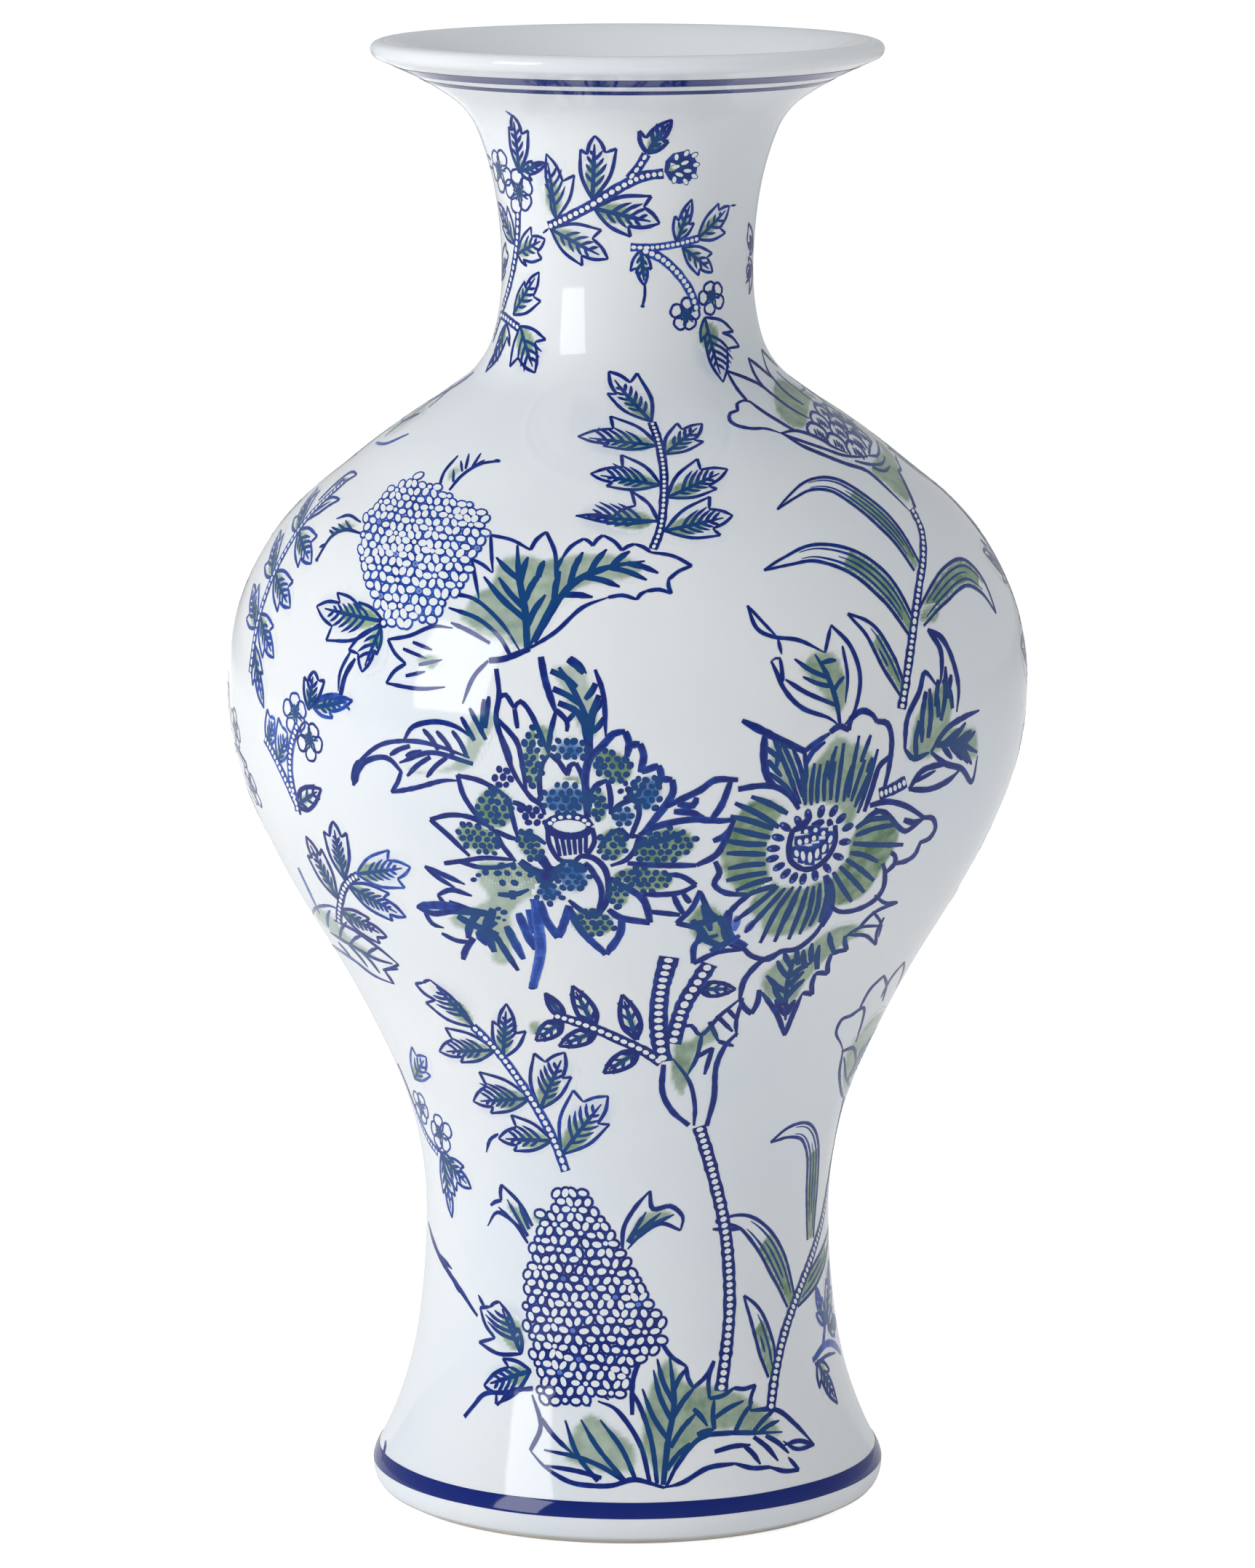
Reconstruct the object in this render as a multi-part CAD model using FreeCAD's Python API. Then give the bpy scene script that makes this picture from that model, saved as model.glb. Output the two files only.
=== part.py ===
import FreeCAD, Part
import math
import os

# A porcelain vase on its foot ring: a wide trumpet mouth, a slim neck, a full round
# shoulder and a narrow waist above a spread foot. Millimetres, +Z up, origin at the
# centre of the flat face that it stands on.
#
# It is made as a potter makes it. Clay sections are thrown apart and luted together at
# joints square to the wall, and then the outside and the inside each get a coat of
# glaze. Painted bands lie flush in the outside glaze.

HEIGHT = 400.0
GLAZE = 0.5

# The outside of the glaze at each turn of the outline: radius, height, the way the
# outline is heading there (0 is outwards, 90 is straight up) and the whole wall's
# thickness, both glazes included, or 0 where no wall is measured from the knot.
# Tangent arcs join one knot to the next.
GLAZE_START = (68.5, 2.2, 45.0, 0.0)
FOOT_BULGE = (70.5, 7.5, 90.0, 0.0)
SKIRT_LOW = (67.0, 16.0, 115.0, 0.0)
WAIST = (55.5, 79.0, 90.0, 6.5)
BELLY_LOW = (85.0, 160.0, 58.0, 6.0)
BELLY = (109.0, 226.0, 90.0, 6.0)
SHOULDER_HIGH = (83.0, 280.0, 142.0, 6.0)
SHOULDER_FLAT = (62.5, 296.0, 145.0, 6.0)
NECK_ROOT = (45.0, 308.0, 144.0, 6.0)
NECK = (34.0, 337.5, 90.0, 5.5)
FLARE = (40.5, 376.0, 68.0, 5.5)
LIP_UNDER = (58.0, 391.0, 27.0, 6.5)
LIP_TURN = (67.6, 395.3, 24.0, 0.0)
LIP_EDGE = (69.2, 397.7, 90.0, 0.0)
LIP_CREST = (65.8, HEIGHT, 180.0, 0.0)

# The foot: its flat resting ring, its inner wall and the floor between.
FOOT_FLAT_OUTER = 63.0
FOOT_FLAT_INNER = 57.5
FOOT_BORE = 56.0
FOOT_EDGE_ROUND = FOOT_FLAT_INNER - FOOT_BORE
FLOOR_THICK = 6.0
FLOOR_FLAT = 38.0
FLOOR_CORNER = (51.0, 32.0, 100.0)

# Painted bands: lowest and highest edge, and how deep each lies in the glaze.
BAND_DEPTH = 0.2
FOOT_BAND = (8.5, 12.6)
RIM_BAND_WIDE = (391.7, 393.3)
RIM_BAND_FINE = (389.3, 389.9)
BAND_REACH = 90.0


def heading_of(knot):
    turn = math.radians(knot[2])
    return FreeCAD.Vector(math.cos(turn), 0, math.sin(turn))


def place_of(knot):
    return FreeCAD.Vector(knot[0], 0, knot[1])


def moved(knot, depth):
    """The knot moved square to its heading, to the left for a positive depth."""
    turn = math.radians(knot[2])
    return (knot[0] - depth * math.sin(turn), knot[1] + depth * math.cos(turn), knot[2])


def line(start, end):
    return Part.LineSegment(FreeCAD.Vector(*start), FreeCAD.Vector(*end)).toShape()


def flat_line(start, end):
    return line((start[0], 0, start[1]), (end[0], 0, end[1]))


def arc_from(start, heading, end):
    """The arc that leaves start along heading and passes through end."""
    chord = end - start
    across = chord - heading * chord.dot(heading)
    if across.Length < 1e-6:
        return Part.LineSegment(start, end).toShape()
    side = across.normalize()
    radius = chord.dot(chord) / (2 * chord.dot(side))
    centre = start + side * radius
    to_middle = (start + end) * 0.5 - centre
    if chord.dot(heading) < 0:
        to_middle = to_middle * -1
    middle = centre + to_middle.normalize() * radius
    return Part.Arc(start, middle, end).toShape()


def two_arcs(start_knot, end_knot):
    """Two tangent arcs from one knot to the next, meeting halfway."""
    start = place_of(start_knot)
    end = place_of(end_knot)
    leaving = heading_of(start_knot)
    arriving = heading_of(end_knot)
    chord = end - start
    both = leaving + arriving
    spread = 2 * (1 - leaving.dot(arriving))
    if spread < 1e-6:
        reach = chord.dot(chord) / (4 * chord.dot(arriving))
    else:
        along = chord.dot(both)
        reach = (math.sqrt(along * along + spread * chord.dot(chord)) - along) / spread
    meeting = (start + leaving * reach + end - arriving * reach) * 0.5
    first = arc_from(start, leaving, meeting)
    second = arc_from(end, arriving * -1, meeting)
    return [first, second]


def curve(knots, depth):
    """The outline through the knots, moved square to itself by depth."""
    shifted = [moved(knot, depth) for knot in knots]
    edges = []
    for start_knot, end_knot in zip(shifted, shifted[1:]):
        edges += two_arcs(start_knot, end_knot)
    return edges


def spun(edges):
    """The solid that a closed outline sweeps in a full turn about the vase's axis."""
    wire = Part.Wire(Part.__sortEdges__(edges))
    face = Part.Face(wire)
    solid = face.revolve(FreeCAD.Vector(0, 0, 0), FreeCAD.Vector(0, 0, 1), 360)
    return Part.Solid(solid) if solid.ShapeType == "Shell" else solid


def cavity_knots():
    """The inside surface of the glaze, from the middle of the floor up to the crest."""
    floor_top = clay_foot_top() + GLAZE
    walls = [WAIST, BELLY_LOW, BELLY, SHOULDER_HIGH, SHOULDER_FLAT, NECK_ROOT, NECK, FLARE, LIP_UNDER]
    inner = [moved(knot, knot[3]) for knot in walls]
    return [(FLOOR_FLAT, floor_top, 0.0), FLOOR_CORNER] + inner + [(LIP_CREST[0], LIP_CREST[1], 0.0)]


def clay_foot_top():
    """The level of the joint where the skirt stands on the foot ring and the floor."""
    return moved(SKIRT_LOW, GLAZE)[1]


def foot_ring():
    top = clay_foot_top()
    glaze_end = moved(GLAZE_START, GLAZE)
    skirt_end = moved(SKIRT_LOW, GLAZE)
    edges = [flat_line((FOOT_FLAT_INNER, 0), (FOOT_FLAT_OUTER, 0))]
    edges += two_arcs((FOOT_FLAT_OUTER, 0, 0.0), glaze_end)
    edges += curve([GLAZE_START, FOOT_BULGE, SKIRT_LOW], GLAZE)
    edges += [flat_line(skirt_end, (FOOT_BORE, top)), flat_line((FOOT_BORE, top), (FOOT_BORE, FOOT_EDGE_ROUND))]
    edges += two_arcs((FOOT_BORE, FOOT_EDGE_ROUND, 270.0), (FOOT_FLAT_INNER, 0, 0.0))
    return spun(edges)


def base_floor():
    top = clay_foot_top()
    return Part.makeCylinder(FOOT_BORE, FLOOR_THICK, FreeCAD.Vector(0, 0, top - FLOOR_THICK))


def wall_section(outside_knots, inside_knots):
    """Clay between the two glazes, cut square to the wall at both ends."""
    outside = curve(outside_knots, GLAZE)
    inside = curve(inside_knots, -GLAZE)
    edges = outside + inside
    outer_ends = (moved(outside_knots[0], GLAZE), moved(outside_knots[-1], GLAZE))
    inner_ends = (moved(inside_knots[0], -GLAZE), moved(inside_knots[-1], -GLAZE))
    for outer_end, inner_end in zip(outer_ends, inner_ends):
        if math.dist(outer_end[:2], inner_end[:2]) > 1e-6:
            edges.append(flat_line(outer_end, inner_end))
    return spun(edges)


def outer_glaze(outside_knots):
    first = outside_knots[0]
    last = outside_knots[-1]
    edges = curve(outside_knots, 0) + curve(outside_knots, GLAZE)
    edges += [flat_line(first, moved(first, GLAZE)), flat_line(last, moved(last, GLAZE))]
    return spun(edges)


def inner_glaze(inside_knots):
    first = inside_knots[0]
    last = inside_knots[-1]
    clay_first = moved(first, -GLAZE)
    edges = curve(inside_knots, 0) + curve(inside_knots, -GLAZE)
    edges += [flat_line(last, moved(last, -GLAZE)), flat_line((0, clay_first[1]), (0, first[1]))]
    edges += [flat_line((0, first[1]), first), flat_line((0, clay_first[1]), clay_first)]
    return spun(edges)


def painted_band(outside_knots, levels):
    """A ring of colour that lies flush in the outside of the glaze between two levels."""
    low, high = levels
    first = outside_knots[0]
    last = outside_knots[-1]
    edges = curve(outside_knots, 0) + curve(outside_knots, BAND_DEPTH)
    edges += [flat_line(first, moved(first, BAND_DEPTH)), flat_line(last, moved(last, BAND_DEPTH))]
    slab = Part.makeCylinder(BAND_REACH, high - low, FreeCAD.Vector(0, 0, low))
    return spun(edges).common(slab)


def save(node, shape):
    solids = shape.Solids
    whole = solids[0] if len(solids) == 1 else Part.makeCompound(solids)
    whole.exportStep("parts/" + node + ".step")
    print(node, len(solids), "solid", round(whole.Volume), "mm3", whole.isValid())


def build():
    outside = [GLAZE_START, FOOT_BULGE, SKIRT_LOW, WAIST, BELLY_LOW, BELLY, SHOULDER_HIGH,
               SHOULDER_FLAT, NECK_ROOT, NECK, FLARE, LIP_UNDER, LIP_TURN, LIP_EDGE, LIP_CREST]
    inside = cavity_knots()
    bands = {
        "foot_band": painted_band([GLAZE_START, FOOT_BULGE, SKIRT_LOW], FOOT_BAND),
        "rim_band_wide": painted_band([FLARE, LIP_UNDER, LIP_TURN], RIM_BAND_WIDE),
        "rim_band_fine": painted_band([FLARE, LIP_UNDER, LIP_TURN], RIM_BAND_FINE),
    }
    glaze = outer_glaze(outside)
    for band in bands.values():
        glaze = glaze.cut(band)
    os.makedirs("parts", exist_ok=True)
    save("foot_ring", foot_ring())
    save("base_floor", base_floor())
    save("foot_skirt", wall_section(outside[2:4], inside[0:3]))
    save("lower_belly", wall_section(outside[3:6], inside[2:5]))
    save("shoulder", wall_section(outside[5:9], inside[4:8]))
    save("neck", wall_section(outside[8:12], inside[7:11]))
    save("mouth_lip", wall_section(outside[11:15], inside[10:12]))
    save("outer_glaze", glaze)
    save("inner_glaze", inner_glaze(inside))
    for node, band in bands.items():
        save(node, band)


build()
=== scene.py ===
import bisect
import math
import random

import bpy
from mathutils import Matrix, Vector, noise


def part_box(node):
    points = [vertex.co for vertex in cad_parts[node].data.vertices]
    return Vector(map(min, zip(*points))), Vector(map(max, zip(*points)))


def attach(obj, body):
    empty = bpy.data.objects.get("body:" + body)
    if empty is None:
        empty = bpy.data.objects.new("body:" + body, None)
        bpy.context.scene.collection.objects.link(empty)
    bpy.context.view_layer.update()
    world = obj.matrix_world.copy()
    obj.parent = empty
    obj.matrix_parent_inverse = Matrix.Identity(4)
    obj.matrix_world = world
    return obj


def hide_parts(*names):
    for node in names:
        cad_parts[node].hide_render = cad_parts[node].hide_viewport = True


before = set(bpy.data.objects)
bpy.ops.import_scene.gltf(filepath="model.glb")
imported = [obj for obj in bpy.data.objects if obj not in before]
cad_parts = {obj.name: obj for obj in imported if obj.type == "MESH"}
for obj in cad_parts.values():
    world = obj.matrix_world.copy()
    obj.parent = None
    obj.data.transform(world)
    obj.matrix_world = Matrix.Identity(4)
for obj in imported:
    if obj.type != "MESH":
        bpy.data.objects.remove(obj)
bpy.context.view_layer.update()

print("frame loaded")

# The vase is a turned shape. The painting is worked out on its outside laid flat, in mm:
# x runs round to the right from the middle of the front, y runs up along the outline.
mm = 0.001
halfTurn = math.pi


def facingPoints(name, outward, skip=()):
    # radius by height, in mm, of each corner on the node's outer (1) or inner (-1) faces
    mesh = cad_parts[name].data
    found = {}
    for face in mesh.polygons:
        middle = face.center
        away = face.normal.x * middle.x + face.normal.y * middle.y
        if away * outward <= 0.02 * math.hypot(middle.x, middle.y):
            continue
        for index in face.vertices:
            spot = mesh.vertices[index].co
            if any(low + 1e-5 < spot.z < high - 1e-5 for low, high in skip):
                continue
            level = round(spot.z / mm, 3)
            found[level] = max(found.get(level, 0), math.hypot(spot.x, spot.y) / mm)
    return found


class Outline:
    # a smooth run through (radius, height) points, read by the distance along it
    def __init__(self, points):
        self.points = [points[0]]
        for point in points[1:]:
            if math.dist(point, self.points[-1]) > 0.05:
                self.points.append(point)
        self.along = [0.0]
        for a, b in zip(self.points, self.points[1:]):
            self.along.append(self.along[-1] + math.dist(a, b))
        self.length = self.along[-1]
        self.lean = []
        for i in range(len(self.points)):
            before = max(i - 1, 0)
            after = min(i + 1, len(self.points) - 1)
            run = self.along[after] - self.along[before]
            self.lean.append([(self.points[after][k] - self.points[before][k]) / run for k in (0, 1)])

    def at(self, s):
        # radius, height and the outward normal's two parts
        i = min(max(bisect.bisect_right(self.along, s) - 1, 0), len(self.points) - 2)
        span = self.along[i + 1] - self.along[i]
        t = (s - self.along[i]) / span
        spot, turn = [], []
        for k in (0, 1):
            p, q = self.points[i][k], self.points[i + 1][k]
            m, n = self.lean[i][k] * span, self.lean[i + 1][k] * span
            spot.append((2 * t**3 - 3 * t**2 + 1) * p + (t**3 - 2 * t**2 + t) * m
                        + (3 * t**2 - 2 * t**3) * q + (t**3 - t**2) * n)
            turn.append((6 * t**2 - 6 * t) * (p - q) + (3 * t**2 - 4 * t + 1) * m + (3 * t**2 - 2 * t) * n)
        size = math.hypot(*turn)
        return spot[0], spot[1], turn[1] / size, -turn[0] / size

    def rows(self, longest, sharpest):
        # distances for the rings of a turned mesh, closer together where the outline bends
        marks = [0.0]
        last = self.at(0.0)
        s = 0.0
        while s < self.length - 0.4:
            s += 0.1
            here = self.at(s)
            bend = math.acos(min(1.0, last[2] * here[2] + last[3] * here[3]))
            if s - marks[-1] >= longest or bend > sharpest and s - marks[-1] > 0.35:
                marks.append(s)
                last = here
        return marks + [self.length]


bandNodes = ["foot_band", "rim_band_wide", "rim_band_fine"]
bandLevels = {name: (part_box(name)[0][2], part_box(name)[1][2]) for name in bandNodes}
outsidePoints = facingPoints("outer_glaze", 1, bandLevels.values())
for bandNode in bandNodes:
    outsidePoints.update({z: r for z, r in facingPoints(bandNode, 1).items() if z not in outsidePoints})
outside = Outline([(outsidePoints[z], z) for z in sorted(outsidePoints)])
insidePoints = facingPoints("inner_glaze", -1)
inside = Outline([(0.0, min(insidePoints))] + [(insidePoints[z], z) for z in sorted(insidePoints)]
                 + [outside.points[-1]])
print("outlines read:", round(outside.length, 1), "mm outside,", round(inside.length, 1), "mm inside")


def onVase(x, y, lift, turn=0.0):
    # the place on the outside, in metres, of a point of the flat sheet
    radius, height, outwards, upwards = outside.at(y)
    angle = x / radius + turn
    reach = (radius + lift * outwards) * mm
    return (reach * math.sin(angle), -reach * math.cos(angle), (height + lift * upwards) * mm)


glazeLook = {
    "cool": (0.74, 0.785, 0.83, 1),
    "warm": (0.80, 0.82, 0.83, 1),
    "driftScale": 14.0,
    "speck": (0.16, 0.10, 0.07, 1),
    "speckScale": 60.0,
    "speckSize": (0.012, 0.028),  # full inside the first distance, gone past the second
    "speckRare": (0.955, 0.96),  # only cells above this share hold a speck
    "speckCover": 0.75,
    "rippleScale": 22.0,
    "rippleDepth": 0.00035,
    "glossScale": 60.0,
    "roughness": (0.05, 0.09),
    "ior": 1.4,
    "coat": 0.05,
    "coatRoughness": 0.03,
}
inkLook = {
    "navy": (0.001, 0.014, 0.165, 1),
    "blue": (0.010, 0.070, 0.400, 1),
    "pale": (0.120, 0.210, 0.620, 1),
    "teal": (0.001, 0.055, 0.190, 1),
    "grainScale": 420.0,
    "grain": 0.12,
    "edgeThin": 0.24,
    "blueBy": 0.5,  # the tone at which pale has turned blue
    "navyFrom": 0.38,
    "navyBy": 0.86,
    "tealOnGreen": 0.82,
}
washLook = {
    "light": (0.195, 0.315, 0.165, 1),
    "deep": (0.070, 0.165, 0.070, 1),
    "poolScale": 130.0,
    "grainScale": 260.0,
    "leastCover": 0.82,
    "bleed": (0.002, 0.115, 0.360, 1),
    "soak": 1.25,  # how much better the bled blue covers
}
biscuitLook = {
    "dark": (0.60, 0.56, 0.50, 1),
    "light": (0.72, 0.69, 0.63, 1),
    "driftScale": 40.0,
    "grainScale": 900.0,
    "roughness": (0.62, 0.86),
    "grainDepth": 0.00015,
}


def node(tree, kind, **values):
    made = tree.nodes.new(kind)
    for key, value in values.items():
        setattr(made, key, value)
    return made


def mixColour(tree, factor, first, second):
    mix = node(tree, "ShaderNodeMix", data_type="RGBA")
    tree.links.new(factor, mix.inputs["Factor"])
    for value, socket in ((first, mix.inputs[6]), (second, mix.inputs[7])):
        if isinstance(value, tuple):
            socket.default_value = value
        else:
            tree.links.new(value, socket)
    return mix.outputs[2]


def ranged(tree, value, low, high, toLow=0.0, toHigh=1.0):
    mapped = node(tree, "ShaderNodeMapRange", clamp=True)
    tree.links.new(value, mapped.inputs["Value"])
    for name, number in (("From Min", low), ("From Max", high), ("To Min", toLow), ("To Max", toHigh)):
        mapped.inputs[name].default_value = number
    return mapped.outputs["Result"]


def noiseAt(tree, scale, detail=2.0):
    place = node(tree, "ShaderNodeTexCoord")
    made = node(tree, "ShaderNodeTexNoise")
    made.inputs["Scale"].default_value = scale
    made.inputs["Detail"].default_value = detail
    tree.links.new(place.outputs["Object"], made.inputs["Vector"])
    return made.outputs["Fac"]


def group(name, outputs):
    tree = bpy.data.node_groups.new(name, "ShaderNodeTree")
    for label, kind in outputs:
        tree.interface.new_socket(name=label, in_out="OUTPUT", socket_type=kind)
    return tree, node(tree, "NodeGroupOutput")


def makeGlazeGroup():
    # the white glaze: a slow drift of tone, a few tiny iron specks, and a faint ripple
    tree, out = group("whiteGlaze", [("Colour", "NodeSocketColor"), ("Height", "NodeSocketFloat"),
                                     ("Gloss", "NodeSocketFloat")])
    drift = ranged(tree, noiseAt(tree, glazeLook["driftScale"], 3.0), 0.35, 0.65)
    base = mixColour(tree, drift, glazeLook["cool"], glazeLook["warm"])
    place = node(tree, "ShaderNodeTexCoord")
    cells = node(tree, "ShaderNodeTexVoronoi", feature="F1")
    cells.inputs["Scale"].default_value = glazeLook["speckScale"]
    tree.links.new(place.outputs["Object"], cells.inputs["Vector"])
    near = ranged(tree, cells.outputs["Distance"], *glazeLook["speckSize"], 1.0, 0.0)
    pick = node(tree, "ShaderNodeSeparateColor")
    tree.links.new(cells.outputs["Color"], pick.inputs["Color"])
    rare = ranged(tree, pick.outputs[0], *glazeLook["speckRare"], 0.0, glazeLook["speckCover"])
    both = node(tree, "ShaderNodeMath", operation="MULTIPLY")
    tree.links.new(near, both.inputs[0])
    tree.links.new(rare, both.inputs[1])
    tree.links.new(mixColour(tree, both.outputs[0], base, glazeLook["speck"]), out.inputs["Colour"])
    tree.links.new(noiseAt(tree, glazeLook["rippleScale"], 1.5), out.inputs["Height"])
    gloss = ranged(tree, noiseAt(tree, glazeLook["glossScale"]), 0.3, 0.7, *glazeLook["roughness"])
    tree.links.new(gloss, out.inputs["Gloss"])
    return tree


glazeGroup = makeGlazeGroup()


def glazedMaterial(name):
    # a Principled shader with the glaze's gloss and ripple, its colour left to the caller
    made = bpy.data.materials.new(name)
    made.use_nodes = True
    tree = made.node_tree
    shader = tree.nodes["Principled BSDF"]
    shader.inputs["IOR"].default_value = glazeLook["ior"]
    shader.inputs["Coat Weight"].default_value = glazeLook["coat"]
    shader.inputs["Coat Roughness"].default_value = glazeLook["coatRoughness"]
    glaze = node(tree, "ShaderNodeGroup", node_tree=glazeGroup)
    bump = node(tree, "ShaderNodeBump")
    bump.inputs["Strength"].default_value = 1.0
    bump.inputs["Distance"].default_value = glazeLook["rippleDepth"]
    tree.links.new(glaze.outputs["Height"], bump.inputs["Height"])
    tree.links.new(bump.outputs["Normal"], shader.inputs["Normal"])
    tree.links.new(glaze.outputs["Gloss"], shader.inputs["Roughness"])
    return made, tree, shader, glaze


def attribute(tree, name):
    return node(tree, "ShaderNodeAttribute", attribute_name=name).outputs["Fac"]


def makeWhite():
    made, tree, shader, glaze = glazedMaterial("whiteGlazeFinish")
    tree.links.new(glaze.outputs["Colour"], shader.inputs["Base Color"])
    return made


def makeInk():
    # cobalt under the glaze: navy where the brush pressed, bluer at its edges, teal on green
    made, tree, shader, glaze = glazedMaterial("cobaltInk")
    tone = node(tree, "ShaderNodeMath", operation="ADD")
    tree.links.new(attribute(tree, "tone"), tone.inputs[0])
    grain = noiseAt(tree, inkLook["grainScale"], 3.0)
    tree.links.new(ranged(tree, grain, 0.35, 0.65, -inkLook["grain"], inkLook["grain"]), tone.inputs[1])
    thin = node(tree, "ShaderNodeMath", operation="SUBTRACT")
    tree.links.new(tone.outputs[0], thin.inputs[0])
    tree.links.new(ranged(tree, attribute(tree, "edge"), 0.35, 1.0, 0.0, inkLook["edgeThin"]), thin.inputs[1])
    spent = thin.outputs[0]
    light = mixColour(tree, ranged(tree, spent, 0.0, inkLook["blueBy"]), inkLook["pale"], inkLook["blue"])
    deep = ranged(tree, spent, inkLook["navyFrom"], inkLook["navyBy"])
    full = mixColour(tree, deep, light, inkLook["navy"])
    onGreen = ranged(tree, attribute(tree, "green"), 0.0, 1.0, 0.0, inkLook["tealOnGreen"])
    tree.links.new(mixColour(tree, onGreen, full, inkLook["teal"]), shader.inputs["Base Color"])
    return made


def makeWash():
    # thin green brushed over the white, pooled darker in places and fading at its edge;
    # a wash's edge attribute says how much of it is blue that bled from the ink
    made, tree, shader, glaze = glazedMaterial("greenWash")
    pooled = ranged(tree, noiseAt(tree, washLook["poolScale"], 3.0), 0.35, 0.68)
    colour = mixColour(tree, pooled, washLook["light"], washLook["deep"])
    cover = node(tree, "ShaderNodeMath", operation="MULTIPLY")
    tree.links.new(attribute(tree, "tone"), cover.inputs[0])
    grain = noiseAt(tree, washLook["grainScale"])
    tree.links.new(ranged(tree, grain, 0.3, 0.7, washLook["leastCover"], 1.0), cover.inputs[1])
    tinted = mixColour(tree, attribute(tree, "edge"), colour, washLook["bleed"])
    soaked = node(tree, "ShaderNodeMath", operation="MULTIPLY", use_clamp=True)
    soak = ranged(tree, attribute(tree, "edge"), 0.0, 1.0, 1.0, washLook["soak"])
    tree.links.new(soak, soaked.inputs[0])
    tree.links.new(cover.outputs[0], soaked.inputs[1])
    laid = mixColour(tree, soaked.outputs[0], glaze.outputs["Colour"], tinted)
    tree.links.new(laid, shader.inputs["Base Color"])
    return made


def makeBiscuit():
    # bare fired clay under the foot
    made = bpy.data.materials.new("bareBiscuit")
    made.use_nodes = True
    tree = made.node_tree
    shader = tree.nodes["Principled BSDF"]
    grain = noiseAt(tree, biscuitLook["grainScale"], 6.0)
    drift = ranged(tree, noiseAt(tree, biscuitLook["driftScale"], 4.0), 0.3, 0.7)
    colour = mixColour(tree, drift, biscuitLook["dark"], biscuitLook["light"])
    tree.links.new(colour, shader.inputs["Base Color"])
    tree.links.new(ranged(tree, grain, 0.2, 0.8, *biscuitLook["roughness"]), shader.inputs["Roughness"])
    bump = node(tree, "ShaderNodeBump")
    bump.inputs["Distance"].default_value = biscuitLook["grainDepth"]
    tree.links.new(grain, bump.inputs["Height"])
    tree.links.new(bump.outputs["Normal"], shader.inputs["Normal"])
    return made


white = makeWhite()
ink = makeInk()
wash = makeWash()
biscuit = makeBiscuit()
print("materials made")


coatLook = {
    "segments": 256,
    "longest": 2.7,
    "sharpest": math.radians(6),
    "thickness": 0.4,
}


def startAlone():
    if bpy.context.mode != "OBJECT":
        bpy.ops.object.mode_set(mode="OBJECT")
    bpy.ops.object.select_all(action="DESELECT")


def addAlone(name, mesh):
    # a new object for the mesh, active and the only one selected
    piece = bpy.data.objects.new(name, mesh)
    bpy.context.collection.objects.link(piece)
    startAlone()
    piece.select_set(True)
    bpy.context.view_layer.objects.active = piece
    return piece


def finishPiece(piece, material, replaced=()):
    piece.data.materials.clear()
    piece.data.materials.append(material)
    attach(piece, "root")
    if replaced:
        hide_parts(*replaced)


def paintPiece(name, corners, faces, tones, edges, greens, material, replaced=()):
    # a thin sheet of paint; its material reads how strong, how near an edge and how green each corner is
    mesh = bpy.data.meshes.new(name)
    mesh.from_pydata(corners, [], faces)
    for label, values in (("tone", tones), ("edge", edges), ("green", greens)):
        mesh.attributes.new(label, "FLOAT", "POINT").data.foreach_set("value", values)
    piece = addAlone(name, mesh)
    bpy.ops.object.shade_smooth()
    finishPiece(piece, material, replaced)
    print(name, len(faces), "faces")


def spunCoat(name, outline):
    # the outline drawn as a chain of edges at the back and spun a full turn
    marks = outline.rows(coatLook["longest"], coatLook["sharpest"])
    chain = [(0.0, outline.at(s)[0] * mm, outline.at(s)[1] * mm) for s in marks]
    mesh = bpy.data.meshes.new(name)
    mesh.from_pydata(chain, [(i, i + 1) for i in range(len(chain) - 1)], [])
    piece = addAlone(name, mesh)
    bpy.ops.object.mode_set(mode="EDIT")
    bpy.ops.mesh.select_all(action="SELECT")
    bpy.ops.mesh.spin(steps=coatLook["segments"], angle=2 * halfTurn, center=(0, 0, 0), axis=(0, 0, 1))
    bpy.ops.mesh.select_all(action="SELECT")
    bpy.ops.mesh.remove_doubles(threshold=0.00001)
    bpy.ops.object.mode_set(mode="OBJECT")
    return piece


def turnFaces(piece, outward):
    # faces look away from the axis outside, and towards it inside
    face = max(piece.data.polygons, key=lambda f: f.center.x)
    if face.normal.x * outward < 0:
        bpy.ops.object.mode_set(mode="EDIT")
        bpy.ops.mesh.select_all(action="SELECT")
        bpy.ops.mesh.flip_normals()
        bpy.ops.object.mode_set(mode="OBJECT")


def thicken(piece, thickness):
    wall = piece.modifiers.new("wall", "SOLIDIFY")
    wall.thickness = thickness * mm
    wall.offset = -1
    bpy.ops.object.modifier_apply(modifier=wall.name)
    bpy.ops.object.shade_smooth()


def makeCoats():
    outer = spunCoat("outerCoat", outside)
    turnFaces(outer, 1)
    thicken(outer, coatLook["thickness"])
    finishPiece(outer, white, ["outer_glaze"])
    inner = spunCoat("innerCoat", inside)
    turnFaces(inner, -1)
    thicken(inner, coatLook["thickness"])
    finishPiece(inner, white, ["inner_glaze"])
    for coat in (outer, inner):
        print(coat.name, len(coat.data.polygons), "faces")


makeCoats()
for clayNode in ("foot_ring", "base_floor", "foot_skirt", "lower_belly", "shoulder", "neck", "mouth_lip"):
    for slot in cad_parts[clayNode].material_slots:
        slot.material = biscuit


bandLook = {
    "segments": 360,
    "lift": 0.09,
    "rimSpread": 0.5,  # how far a rim line runs past its level, where the brush was wetter
    "waver": 0.14,
    "tone": 1.15,
    "toneDrift": 0.1,
    "shares": (-1.0, -0.8, 0.0, 0.8, 1.0),  # the rows across a band, from its lower edge to its upper
}


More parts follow.
